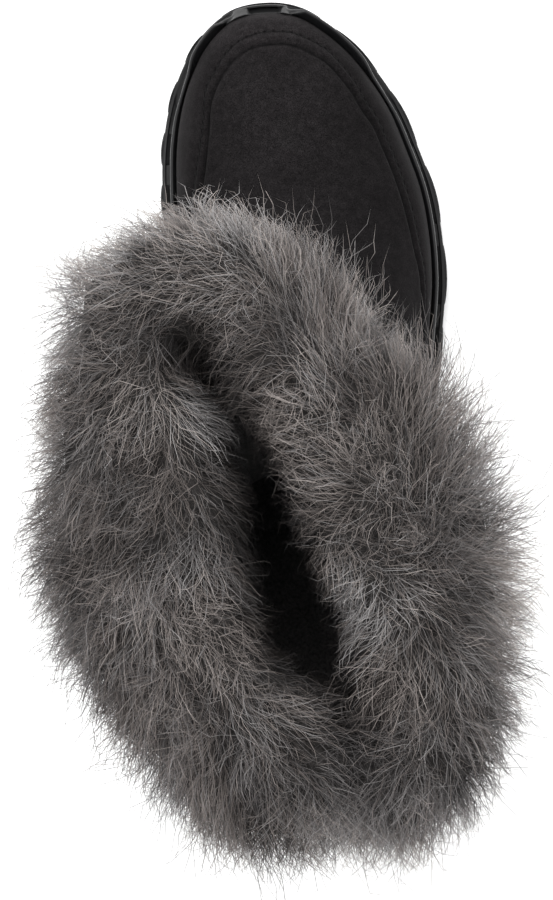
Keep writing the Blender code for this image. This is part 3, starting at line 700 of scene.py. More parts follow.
# ------------------------------------------------------------------ the upper
def build_upper():
    n = 190
    low = stations(FEATHER, n)
    rings = [np.column_stack([low, floor(low[:, 1]) + GAP + h]) for h in (0.0, 3.0, 6.0, 8.4, 10.5)]
    row0 = sweep_row(0.0)
    for t in (0.2, 0.4, 0.6, 0.8):
        def height(q, t=t):
            q = np.asarray(q, float)
            slant = row0[0] + (q - 10.0) * (row0[2] - row0[0]) / (row0[1] - 10.0)
            return (1 - t) * (floor(q) + GAP + 10.5) + t * slant
        rings.append(surface_ring(height, row0, low, n))
    # places in SWEEP_RINGS: close together over the toe, wider up the instep and shaft
    places = np.concatenate([
        np.linspace(0.0, 1.0, 13)[:-1], np.linspace(1.0, 2.0, 17)[:-1], np.linspace(2.0, 3.0, 19)[:-1],
        np.linspace(3.0, 4.0, 19)[:-1], np.linspace(4.0, 7.0, 37)[:-1], np.linspace(7.0, 11.0, 33)[:-1],
        np.linspace(11.0, 16.0, 16)])
    rings += [sweep_ring(x, low, n) for x in places]
    grid = np.array(rings)
    normal = ring_normals(grid)
    level = np.arange(len(grid))
    flat = (level < 5) | (level >= len(grid) - 16)
    around = np.roll(grid, -1, 1) - np.roll(grid, 1, 1)
    normal[flat] = unit(np.cross(around[flat], np.array([0, 0, 1.0])))

    # the seam: the line where each column leaves the band and enters the apron
    apron = closed_curve(APRON + [(38.0, 90.0), (-18.0, 90.0)], 12)
    u, q, z = grid[..., 0], grid[..., 1], grid[..., 2]
    w = step(q, *SEAM_BLEND)
    plan = np.full(q.shape, 40.0)
    near = (q > SEAM_BLEND[0] - 1) & (z < 96)
    plan[near] = inside_distance(apron, u[near], q[near])
    g = w * plan + (1 - w) * 0.8 * (z - floor(q) - SEAM_HEIGHT)
    cut = np.argmax(g > 0, axis=0)
    cols = np.arange(2 * n)
    g0, g1 = g[cut - 1, cols], g[cut, cols]
    kappa = cut - 1 + g0 / (g0 - g1)

    def at(k, values):
        k = np.clip(k, 0, len(grid) - 1.001)
        i = k.astype(int)
        f = (k - i)[:, None]
        return values[i, cols] * (1 - f) + values[i + 1, cols] * f
    seam = at(kappa, grid)
    # the stitch row: a few mm outside the seam, measured down each column
    offset = 3.9 + 1.3 * step(seam[:, 1], 235, 262)
    offset += 2.4 * (1 - step(seam[:, 0], -24, -15)) * (1 - step(seam[:, 1], 240, 254))
    ks = kappa.copy()
    left = offset.copy()
    here = seam.copy()
    for _ in range(160):
        nxt = np.maximum(ks - 0.5, 0)
        there = at(nxt, grid)
        d = np.linalg.norm(there - here, axis=1)
        go = left > 0
        part = np.where(go, np.clip(left / np.maximum(d, 1e-6), 0, 1), 0)
        ks = ks + (nxt - ks) * part
        left = left - d * part - np.where(part < 1, 1e-3, 0)
        here = at(ks, grid)
    row = at(ks, grid)
    lengths = np.linalg.norm(np.roll(row, -1, 0) - row, axis=1)
    total = lengths.sum()
    count = int(round(total / STITCH_PITCH))
    arc = np.concatenate([[0], np.cumsum(lengths)])[:-1] * (count * STITCH_PITCH / total)

    def distance_to(line):
        dense = np.concatenate([line + (np.roll(line, -1, 0) - line) * f for f in (0.0, 0.34, 0.67)])
        out = np.full(q.shape, 30.0)
        band = np.abs(level[:, None] - kappa[None, :]) < 48
        p = grid[band]
        best = np.empty(len(p))
        for k in range(0, len(p), 4000):
            c = p[k:k + 4000]
            best[k:k + 4000] = np.sqrt(((c[:, None, :] - dense[None]) ** 2).sum(2).min(1))
        out[band] = best
        return out
    sign = np.where(level[:, None] > kappa[None, :], 1.0, -1.0)
    seam_d = distance_to(seam) * sign
    stitch_d = distance_to(row) * np.where(level[:, None] > ks[None, :], 1.0, -1.0)

    push = -1.15 * np.exp(-(seam_d / 1.00) ** 2)
    push += 0.34 * np.exp(-((seam_d + 2.5) / 1.5) ** 2) + 0.14 * np.exp(-((seam_d - 2.8) / 2.2) ** 2)
    push += -0.50 * np.exp(-(stitch_d / 0.95) ** 2)
    # the band outside the stitch row is a little fuller
    push += 0.35 * np.exp(-((stitch_d + 4.5) / 3.0) ** 2)
    # the back seam, from the midsole to the collar
    back = np.linalg.norm(grid[..., :2] - grid[:, :1, :2], axis=2)
    push += (-0.6 * np.exp(-(back / 1.0) ** 2) + 0.25 * np.exp(-((back - 2.4) / 1.3) ** 2)) * step(z, 33, 40)
    # folds round the ankle and the shaft
    uc, qc, s, c, b, a, m = shaft_axes(z)
    du, dq = u - uc, q - qc
    angle = np.degrees(np.arctan2((dq * s + du * c) / a, (dq * c - du * s) / b))
    fold = np.zeros_like(z)
    wander = 2.2 * value_noise(grid, 17.0, 3)
    for mid, half, height, rise, width, depth in FOLDS:
        off = (angle - mid + 180) % 360 - 180
        span = np.clip(1 - (off / half) ** 2, 0, 1) ** 1.2
        line = height + rise * off / half + 5.0 * (off / half) ** 2 + wander
        e = (z - line) / width
        fold += depth * span * (-np.exp(-e ** 2) + 0.75 * np.exp(-(e - 1.7) ** 2) + 0.35 * np.exp(-(e + 1.7) ** 2))
    push += fold * step(z - floor(q), 30, 52)
    # the leather isn't quite even over the last
    push += (0.28 * layered_noise(grid, 30.0, 5) + 0.10 * value_noise(grid, 8.0, 6)) * step(z - floor(q), 9.5, 14)
    push[:5] = 0.0
    outer = grid + normal * push[..., None]

    inner_levels = np.unique(np.concatenate([[0, 2, 4], np.linspace(6, len(grid) - 1, 18).astype(int)]))
    inner = (grid - normal * UPPER_WALL)[inner_levels][::-1]
    # a ring halfway through the wall at the top edge; it isn't used
    top = grid[-1] - normal[-1] * (UPPER_WALL / 2)
    top[:, 2] += 0.0
    all_rings = np.concatenate([outer, inner])
    around_n = 2 * n
    faces = loft_faces(len(all_rings), around_n, True)
    lining = np.repeat(np.arange(len(all_rings)) >= len(outer) - 1, around_n).astype(int)
    verts = all_rings.reshape(-1, 3)
    pad = np.full((len(inner), around_n), 30.0)
    # painted light and shade on the vamp: lighter in its middle and along the toe's edge, darker towards its sides
    shade = 1.0 + 0.19 * np.exp(-((u + 1) / 17.0) ** 2 - ((q - 248) / 26.0) ** 2)
    shade = shade - (0.30 * step(u, 8, 36) + 0.13 * (1 - step(u, -30, -10))) * step(q, 120, 165)
    shade = shade + 0.42 * step(q, 261, 273) * (1 - 0.6 * step(u, 0, 25))
    floats = {
        "seam_d": np.concatenate([seam_d, pad]).ravel(),
        "stitch_d": np.concatenate([stitch_d, pad]).ravel(),
        "stitch_s": np.broadcast_to(arc, (len(all_rings), around_n)).ravel(),
        "painted_vamp_light": np.clip(np.concatenate([shade, np.ones_like(pad)]).ravel() / 2, 0, 1),
    }
    mesh_object("boot_upper", verts, [faces], [NUBUCK, LINING], face_material=lining, floats=floats,
                replaces="upper")

    # the thread: one short stitch between each pair of holes
    out_row, nrm_row = at(ks, outer), unit(at(ks, normal))
    closed = np.vstack([out_row, out_row[:1]])
    closed_n = np.vstack([nrm_row, nrm_row[:1]])
    where = np.concatenate([arc, [count * STITCH_PITCH]])
    verts, faces_q = [], []
    sides = 6
    for i in range(count):
        mid = (i + 0.0) * STITCH_PITCH
        span = np.array([-1.25, -0.85, 0.0, 0.85, 1.25])
        lift = np.array([-0.42, -0.10, 0.02, -0.10, -0.42])
        size = np.array([0.14, 0.26, 0.29, 0.26, 0.14])
        sp = (mid + span) % (count * STITCH_PITCH)
        line = np.stack([np.interp(sp, where, closed[:, k]) for k in range(3)], 1)
        nn = unit(np.stack([np.interp(sp, where, closed_n[:, k]) for k in range(3)], 1))
        line = line + nn * lift[:, None]
        tangent = unit(np.gradient(line, axis=0))
        side = unit(np.cross(tangent, nn))
        first = sum(len(v) for v in verts)
        a = 2 * pi * np.arange(sides) / sides
        ring = (line[:, None, :] + size[:, None, None]
                * (side[:, None, :] * np.cos(a)[None, :, None] + nn[:, None, :] * 0.8 * np.sin(a)[None, :, None]))
        verts.append(ring.reshape(-1, 3))
        f = loft_faces(5, sides, False, first)
        faces_q.append(f)
        ends = np.array([[0, 1, 2, 3], [0, 3, 4, 5]])
        faces_q.append(ends[:, ::-1] + first)
        faces_q.append(ends + first + 4 * sides)
    mesh_object("apron_stitches", np.vstack(verts), [np.vstack(faces_q)], [THREAD])
    return grid, normal


# ------------------------------------------------------------------ the sole
def toe_plate(u, q):
    """1 on the broad face round the toe's tip, 0 away from it."""
    return step(u, -19.5, -16.5) * (1 - step(u, 3.7, 6.7)) * step(q, 255, 262)


def lip_share(u, q):
    """How far in from the wall the rim's crest stands, as a share of the way to the upper."""
    beside_plate = step(u, 7.0, 11.0) + 1 - step(u, -26.0, -22.0)
    return 0.42 + 0.33 * step(q, 238, 252) - 0.55 * step(q, 256, 265) * beside_plate


def build_midsole():
    n = 200
    lower = [
        # out from the wall, height
        (0.25, lambda q: outsole_top(q) + GAP),
        (0.0, lambda q: outsole_top(q) + GAP + 0.5),
        (0.0, lambda q: outsole_top(q) + GAP + 3.2),
        (0.55, lambda q: outsole_top(q) + GAP + 3.6),
        (0.55, lambda q: outsole_top(q) + GAP + 4.3),
        (0.0, lambda q: outsole_top(q) + GAP + 4.7),
    ]
    upper_part = [
        # from the wall, share of the way to the upper, height below the rim
        (0.0, 0.0, -4.3), (0.1, 0.0, -3.7), (-0.15, 0.0, -3.1), (-0.75, 0.0, -2.7), (-1.1, 0.0, -2.0),
        (-1.15, 0.0, -1.2), (-1.0, 0.0, -0.5), (-0.68, 0.0, -0.1), (-0.3, 0.0, 0.0), (0.0, 0.05, -0.1),
        (0.0, 0.28, -0.35), (0.0, 0.50, -0.7), (0.0, 0.72, -1.05), (0.0, 0.88, -1.3), (0.0, 1.0, -1.5),
    ]
    rings = []
    for d, h in lower:
        p = stations(inset(SOLE, lambda q, d=d: midsole_inset(q) + d), n)
        rings.append(np.column_stack([p, h(p[:, 1])]))
    tangent = np.roll(SOLE, -1, 0) - np.roll(SOLE, 1, 0)
    tangent /= np.linalg.norm(tangent, axis=1)[:, None]
    inward = np.stack([-tangent[:, 1], tangent[:, 0]], 1)
    last_one = len(upper_part) - 1
    for k, (out, share, drop) in enumerate(upper_part):
        uu, qq = SOLE[:, 0], SOLE[:, 1]
        t = max(k - 1, 0) / (last_one - 1)
        wall = midsole_inset(qq)
        lip = lip_share(uu, qq) if k >= 2 else 0.0
        d = wall + out + (lip + share * (1 - lip)) * (upper_inset(qq) - GAP - wall)
        slope = 2.4 + (UPPER_INSET_TOE - GAP - 2.4) * t if k else wall
        flat = toe_plate(uu, qq)
        p = stations(SOLE + inward * (d * (1 - flat) + slope * flat)[:, None], n)
        flat = toe_plate(p[:, 0], p[:, 1])
        flank = step(p[:, 1], 240, 255) * (1 - flat)
        z = rim(p[:, 1]) + drop * (1 + (0.5 * flank if share else 0.0))
        if k in (1, 2):
            z = z - (0.5, 1.3)[k - 1] * lip_share(p[:, 0], p[:, 1])
        tall = rim(p[:, 1]) + (-6.2 + 6.6 * t if k else -7.4)
        z = z * (1 - flat) + tall * flat
        if k >= 4:
            # the pocket in the toe plate
            u = p[:, 0]
            z = z - 3.2 * step(u, -11.1, -10.1) * (1 - step(u, 0.9, 2.1)) * step(p[:, 1], 262, 266)
        rings.append(np.column_stack([p, z]))
    p = rings[-1][:, :2]
    rings.append(np.column_stack([p, floor(p[:, 1])]))
    grid = np.array(rings)
    around = 2 * n
    quads = [loft_faces(len(grid), around, False)]
    bottom_q, bottom_t = cap_faces(0, around, False)
    top_q, top_t = cap_faces((len(grid) - 1) * around, around, True)
    mesh_object("midsole_cup", grid.reshape(-1, 3), [np.vstack(quads + [bottom_q, top_q]), np.vstack([bottom_t, top_t])],
                [RIM_RUBBER], smooth=True, replaces="midsole")


def edge_arc(side):
    back, front = int(np.argmin(SOLE[:, 1])), int(np.argmax(SOLE[:, 1]))
    loop = np.roll(SOLE, -front, 0)
    turn = (back - front) % len(SOLE)
    path = loop[:turn + 1] if side == "medial" else np.vstack([loop[turn:], loop[:1]])[::-1]
    arc = np.concatenate([[0], np.cumsum(np.linalg.norm(np.diff(path, axis=0), axis=1))])
    return path, arc


def lug_plan(path, arc, start, end, points):
    s = np.linspace(start, end, points)
    outer = np.stack([np.interp(s, arc, path[:, 0]), np.interp(s, arc, path[:, 1])], 1)
    tangent = np.gradient(outer, axis=0)
    tangent /= np.linalg.norm(tangent, axis=1)[:, None]
    inward = np.stack([tangent[:, 1], -tangent[:, 0]], 1)
    middle = np.array([6.0, 141.0])
    if np.dot(inward[points // 2], middle - outer[points // 2]) < 0:
        inward = -inward
    shrink = np.linspace(0.8, -0.8, points)[:, None] * tangent
    face = outer + inward * (LUG_SWELL * np.linspace(-1, 1, points) ** 2)[:, None]
    return np.vstack([face, (outer + inward * EDGE_LUG_REACH + shrink)[::-1]])


def build_outsole():
    n = 150
    under = LUG_PROUD

    def plate(q):
        return tread(q) + LUG_DEPTH
    rings = []
    for d, h in ((under + 0.5, plate), (under + 0.1, lambda q: plate(q) + 0.3), (under, lambda q: plate(q) + 0.9),
                 (under, lambda q: outsole_top(q) - 0.7), (under + 0.2, lambda q: outsole_top(q) - 0.2),
                 (under + 0.7, outsole_top)):
        p = stations(inset(SOLE, d), n)
        rings.append(np.column_stack([p, h(p[:, 1])]))
    for share, deep in ((0.14, 0.0), (0.25, 1.9), (0.64, 1.9), (0.78, 0.0)):
        p = stations(inset(SOLE, lambda q, share=share: 1.46 + (midsole_inset(q) - 1.46) * share), n)

        def h(q, deep=deep):
            return outsole_top(q) - deep * (1 - step(q, 236, 252))
        rings.append(np.column_stack([p, h(p[:, 1])]))
    grid = np.array(rings)
    around = 2 * n
    bq, bt = cap_faces(0, around, False)
    tq, tt = cap_faces((len(grid) - 1) * around, around, True)
    body = mesh_object("outsole_tread", grid.reshape(-1, 3),
                       [np.vstack([loft_faces(len(grid), around, False), bq, tq]), np.vstack([bt, tt])],
                       [TREAD_RUBBER], smooth=False, replaces="outsole")

    bm = bmesh.new()

    def block(plan, bottom, top, fall=0.0):
        """A block on its plan; its top falls away over the second half of the points."""
        plan = np.asarray(plan, float)
        drop = np.where(np.arange(len(plan)) < len(plan) // 2, 0.0, fall)
        lo = [bm.verts.new(p) for p in place(np.column_stack([plan, bottom(plan[:, 1])]))]
        hi = [bm.verts.new(p) for p in place(np.column_stack([plan, top(plan[:, 1]) - drop]))]
        k = len(plan)
        for i in range(k):
            j = (i + 1) % k
            bm.faces.new((lo[i], lo[j], hi[j], hi[i]))
        half = k // 2
        for i in range(half - 1):
            a, b, c, d = i, i + 1, k - 2 - i, k - 1 - i
            bm.faces.new((lo[a], lo[b], lo[c], lo[d]))
            bm.faces.new((hi[a], hi[b], hi[c], hi[d]))

    def lug_top(q):
        return outsole_top(q) - LUG_TOP_DROP

    def bar_top(q):
        return plate(q) + 1.0
    for side, first, length, gap, count in EDGE_LUGS:
        path, arc = edge_arc(side)
        for i in range(count):
            start = first + i * (length + gap)
            if start + length > arc[-1] - 14:
                break
            block(lug_plan(path, arc, start, start + length, 8), tread, lug_top, 5.2)
    lat, lat_arc = edge_arc("lateral")
    med, med_arc = edge_arc("medial")
    for tip in ("toe", "heel"):
        path = np.vstack([med[::-1], lat[1:]]) if tip == "toe" else np.vstack([lat, med[::-1][1:]])
        arc = np.concatenate([[0], np.cumsum(np.linalg.norm(np.diff(path, axis=0), axis=1))])
        mid = med_arc[-1] if tip == "toe" else lat_arc[-1]
        wide = 20.0 if tip == "toe" else 11.0
        block(lug_plan(path, arc, mid - wide, mid + wide, 19), tread, lug_top, 5.2)
    across = np.arange(-60.0, 80.0, 0.5)
    for first, end, count in CROSS_LUGS:
        for q in np.linspace(first, end, count):
            w, v = CROSS_WIDTH / 2, CROSS_POINT
            deep = np.minimum(inside_distance(SOLE, across, np.full(len(across), q - w - v)),
                              inside_distance(SOLE, across, np.full(len(across), q + w)))
            clear = across[deep > CROSS_MARGIN]
            lo, hi = clear[0], clear[-1]
            mid = (lo + hi) / 2
            block([(lo, q - w - v), (mid, q - w), (hi, q - w - v), (hi, q + w - v), (mid, q + w), (lo, q + w - v)],
                  tread, bar_top)
    bmesh.ops.recalc_face_normals(bm, faces=bm.faces)
    sharp = [e for e in bm.edges if len(e.link_faces) == 2 and e.calc_face_angle(0) > radians(30)]
    bmesh.ops.bevel(bm, geom=sharp, offset=0.00055, offset_type="OFFSET", segments=2, profile=0.5,
                    affect="EDGES", clamp_overlap=True)
    me = bpy.data.meshes.new("tread_blocks")
    bm.to_mesh(me)
    bm.free()
    blocks = bpy.data.objects.new("tread_blocks", me)
    bpy.context.scene.collection.objects.link(blocks)
    union = body.modifiers.new("blocks", "BOOLEAN")
    union.operation = "UNION"
    union.solver = "EXACT"
    union.object = blocks
    bpy.context.view_layer.update()
    dg = bpy.context.evaluated_depsgraph_get()
    joined = bpy.data.meshes.new_from_object(body.evaluated_get(dg))
    body.modifiers.clear()
    body.data = joined
    joined.materials.clear()
    joined.materials.append(TREAD_RUBBER)
    joined.shade_smooth()
    joined.set_sharp_from_angle(angle=radians(40))
    bpy.data.objects.remove(blocks, do_unlink=True)


def build_insole():
    n = 90
    rings = []
    for d, h in ((0.8, 0.0), (0.0, 0.8), (0.0, INSOLE_THICK - 1.2), (0.5, INSOLE_THICK - 0.3), (1.5, INSOLE_THICK)):
        edge = inset(FEATHER, UPPER_WALL + INSOLE_CLEAR + d)
        p = stations(edge, n)
        rings.append(np.column_stack([p, floor(p[:, 1]) + GAP + h]))
    grid = np.array(rings)
    around = 2 * n
    bq, bt = cap_faces(0, around, False)
    tq, tt = cap_faces((len(grid) - 1) * around, around, True)
    mesh_object("insole_sock", grid.reshape(-1, 3),
                [np.vstack([loft_faces(len(grid), around, False), bq, tq]), np.vstack([bt, tt])],
                [SOCK], replaces="insole")


# ------------------------------------------------------------------ the fur
# Where the pile lies, seen from above: directions over the collar in degrees
# (0 to the lateral side, 90 to the toe, 180 to the medial side, 270 to the
# heel), at points in the camera's frame.
PILE = [
    # x, y, direction
    (70, 270, 170), (110, 235, 165), (150, 215, 165), (160, 230, 172), (200, 225, 165), (240, 225, 150),
    (280, 225, 115), (310, 235, 100), (340, 265, 115), (370, 300, 120), (400, 340, 115), (425, 375, 105),
    (60, 310, 190), (100, 300, 195), (150, 300, 200), (180, 320, 215), (200, 285, 180), (240, 280, 170),
    (230, 260, 165), (280, 270, 135), (300, 300, 150), (340, 330, 145), (375, 370, 140),
    (250, 330, 185), (240, 365, 200), (290, 350, 170), (270, 400, 190), (320, 390, 165), (360, 420, 150),
    (300, 440, 190), (330, 470, 180),
    (400, 420, 110), (430, 410, 95), (450, 400, 80), (470, 420, 70), (490, 460, 50), (440, 450, 85),
    (510, 510, 20), (470, 500, 35), (420, 480, 80), (400, 520, 150), (350, 500, 195), (320, 500, 215),
    (330, 560, 250), (350, 600, 262), (370, 640, 262), (400, 570, 300), (440, 560, 5), (480, 570, 0),
    (510, 590, -5), (500, 640, -20), (460, 620, -20), (420, 620, -70), (400, 680, -90), (450, 690, -60),
    (500, 700, -70), (480, 760, -80), (430, 760, -90), (390, 760, -95), (410, 830, -92), (460, 810, -95),
    (500, 780, -85),
    (60, 350, 215), (50, 400, 225), (100, 380, 235), (150, 380, 240), (200, 370, 250), (215, 410, 275),
    (170, 430, 262), (120, 440, 245), (60, 460, 235), (40, 520, 235), (90, 520, 240), (140, 520, 262),
    (180, 520, 270), (220, 500, 285), (245, 470, 305), (240, 540, 300), (200, 560, 280), (150, 580, 268),
    (100, 590, 250), (50, 590, 240), (70, 650, 250), (120, 660, 262), (160, 650, 268), (200, 640, 285),
    (250, 610, 320), (230, 660, 300), (270, 650, 330), (100, 710, 250), (150, 730, 272), (200, 720, 285),
    (250, 720, 310), (290, 700, 330), (180, 790, 275), (230, 790, 290), (280, 770, 320), (320, 740, 335),
    (300, 820, 290), (250, 850, 285), (340, 800, 280), (330, 840, 270), (290, 865, 290), (345, 700, 250),
]
# Paler and darker places in the pile, as soft rounds: partly the pile's own tone, partly painted light where the lobes
# face the light and painted shade in the valleys and round the parting.
PILE_TONE_AND_LIGHT = [
    # x, y, radius, lighter (+) or darker (-)
    (290, 250, 60, 0.05), (350, 320, 50, 0.17), (250, 290, 45, 0.02), (362, 605, 28, 0.58), (440, 480, 55, 0.04),
    (455, 640, 50, -0.02), (85, 258, 46, 0.26), (130, 265, 28, 0.36), (90, 470, 70, 0.00), (225, 238, 40, 0.25),
    (125, 302, 18, -0.14), (184, 338, 20, -0.40), (203, 366, 14, 0.12), (222, 388, 13, 0.08), (234, 410, 13, -0.18),
    (228, 452, 15, -0.28), (345, 762, 26, -0.36), (312, 402, 20, 0.14), (300, 440, 30, 0.10), (340, 465, 22, 0.14),
    (325, 695, 22, -0.20), (342, 700, 28, -0.24), (410, 545, 34, -0.06), (60, 600, 40, -0.02), (172, 385, 24, 0.46),
    (194, 402, 17, 0.42), (122, 378, 22, -0.22), (388, 600, 22, 0.16), (298, 285, 20, -0.09), (280, 335, 16, -0.16),
    (225, 335, 20, -0.06), (330, 395, 20, -0.07), (200, 455, 18, 0.10), (90, 550, 20, -0.14), (155, 513, 16, -0.22),
    (180, 620, 22, 0.08), (160, 603, 34, 0.20), (135, 730, 18, -0.19), (235, 745, 20, -0.04), (210, 735, 20, 0.08),
    (250, 765, 16, 0.14), (338, 550, 16, 0.38), (355, 583, 20, 0.12), (300, 800, 24, 0.06), (325, 805, 22, 0.26), (375, 832, 24, 0.38),
    (445, 808, 26, 0.28), (470, 700, 24, 0.09), (420, 700, 20, -0.06), (438, 600, 30, -0.30), (375, 655, 18, -0.52), (352, 662, 15, -0.22),
    (335, 728, 18, -0.24), (497, 595, 30, 0.70), (442, 408, 22, 0.20), (455, 455, 20, 0.10), (495, 500, 22, 0.34),
    (465, 515, 30, 0.08), (255, 802, 30, -0.22), (150, 441, 24, -0.21), (190, 549, 26, 0.25), (368, 375, 18, -0.15),
    (372, 441, 14, 0.11), (320, 768, 15, 0.24), (125, 663, 22, -0.13), (312, 303, 20, -0.14), (340, 258, 18, 0.32),
    (320, 508, 14, 0.14), (318, 545, 10, 0.22), (445, 730, 22, -0.11), (58, 410, 40, 0.24), (300, 338, 16, -0.08),
    (110, 441, 26, -0.13), (205, 441, 18, -0.12), (248, 372, 18, 0.12), (370, 693, 18, -0.14), (100, 262, 18, 0.18),
    (370, 297, 16, 0.16),
]
CORE_SECTION = [
    # part of the reach, height
    (0.08, 152.0), (0.34, 152.5), (0.52, 157.0), (0.63, 166.0), (0.68, 177.0), (0.69, 188.0), (0.68, 198.0),
    (0.64, 208.0), (0.57, 217.0), (0.48, 225.0), (0.37, 231.5), (0.26, 236.0), (0.15, 238.8), (0.05, 240.0),
]
# How much fuller or leaner the pile's backing is, by angle from the front.
CORE_FULLNESS = [
    # angle, factor
    (0.0, 1.30), (8.0, 1.24), (18.0, 1.28), (26.0, 1.24), (34.0, 1.17), (42.0, 1.06), (52.0, 0.99), (60.0, 1.13),
    (67.0, 1.30), (74.0, 1.27), (80.0, 1.21), (91.0, 1.22), (99.0, 1.15), (107.0, 1.22), (118.0, 1.165),
    (130.0, 1.20), (144.0, 1.26), (155.0, 1.27), (165.0, 1.28), (171.0, 1.24), (178.0, 1.06), (185.0, 0.92),
    (192.0, 0.90), (199.0, 1.03), (207.0, 1.18), (216.0, 1.24), (225.0, 1.13), (240.0, 1.09), (255.0, 1.17),
    (268.0, 1.33), (276.0, 1.35), (285.0, 1.39), (294.0, 1.35), (302.0, 1.31), (312.0, 1.33), (322.0, 1.34),
    (333.0, 1.24), (340.0, 1.32), (345.0, 1.44), (350.0, 1.35), (354.0, 1.34), (360.0, 1.30),
]
CORE_INNER = [
    # share of the way in to the mouth, height
    (0.12, 239.8), (0.35, 239.2), (0.60, 237.2), (0.80, 233.5), (0.93, 228.0), (1.00, 221.0), (1.00, 212.0),
    (0.92, 204.0), (0.75, 198.0),
]
# The mouth between the two sides' backing, along it from the back (-1) to the
# front (1): half its width, and how far its middle lies to the lateral side.
MOUTH = [
    (-1.0, 2.5, 0.0), (-0.78, 5.0, -0.5), (-0.64, 9.5, -1.2), (-0.52, 15.0, -1.6), (-0.38, 15.5, -2.0), (-0.10, 14.5, -3.0),
    (0.05, 12.5, -0.5), (0.21, 10.5, 2.5), (0.43, 11.0, 3.0), (0.57, 8.5, 2.0), (0.75, 8.5, 0.5), (0.87, 8.0, -1.0),
    (1.0, 3.0, 0.0),
]
# The parting that shows the dark inside, in the camera's frame.
PARTING = [
    # x, y, half width
    (178, 318, 0.5), (183, 330, 8), (187, 344, 9), (193, 357, 5), (203, 368, 3), (218, 380, 3), (228, 396, 2), (232, 408, 3),
    (244, 424, 5), (247, 440, 9), (248, 455, 11), (252, 468, 12), (258, 484, 12), (265, 500, 13), (268, 515, 15),
    (270, 530, 22), (271, 545, 23), (276, 560, 22), (283, 575, 25), (289, 592, 28), (301, 608, 24), (305, 622, 27),
    (309, 636, 28), (313, 650, 27), (315, 661, 25), (321, 669, 16), (328, 677, 6), (333, 686, 0.5),
]


def parting_shade(side, y):
    """How far the shade goes beside the parting, medial (side < 0) and lateral, in the camera's frame."""
    low = step(y, 475, 525)
    return np.where(side < 0, 11.0 + 10.0 * low, 11.0 - 4.0 * low)


def camera_scale(z):
    return 2.68 * 1280.0 / (1300.0 - z)


def in_frame(p):
    k = camera_scale(p[:, 2])
    return 276.0 + p[:, 0] * k, 450.0 - (p[:, 1] - 117.0) * k


def pile_direction(p, order=False):
    """Direction of the pile in plan; with order, also how well the hairs agree."""
    x, y = in_frame(p)
    table = np.array(PILE, float)
    a = np.radians(table[:, 2])
    w = np.exp(-((x[:, None] - table[:, 0]) ** 2 + (y[:, None] - table[:, 1]) ** 2) / (2 * 26.0 ** 2)) + 1e-9
    d = np.stack([(w * np.cos(a)).sum(1), (w * np.sin(a)).sum(1)], 1)
    if order:
        return np.linalg.norm(d, axis=1) / w.sum(1)
    return unit(d)


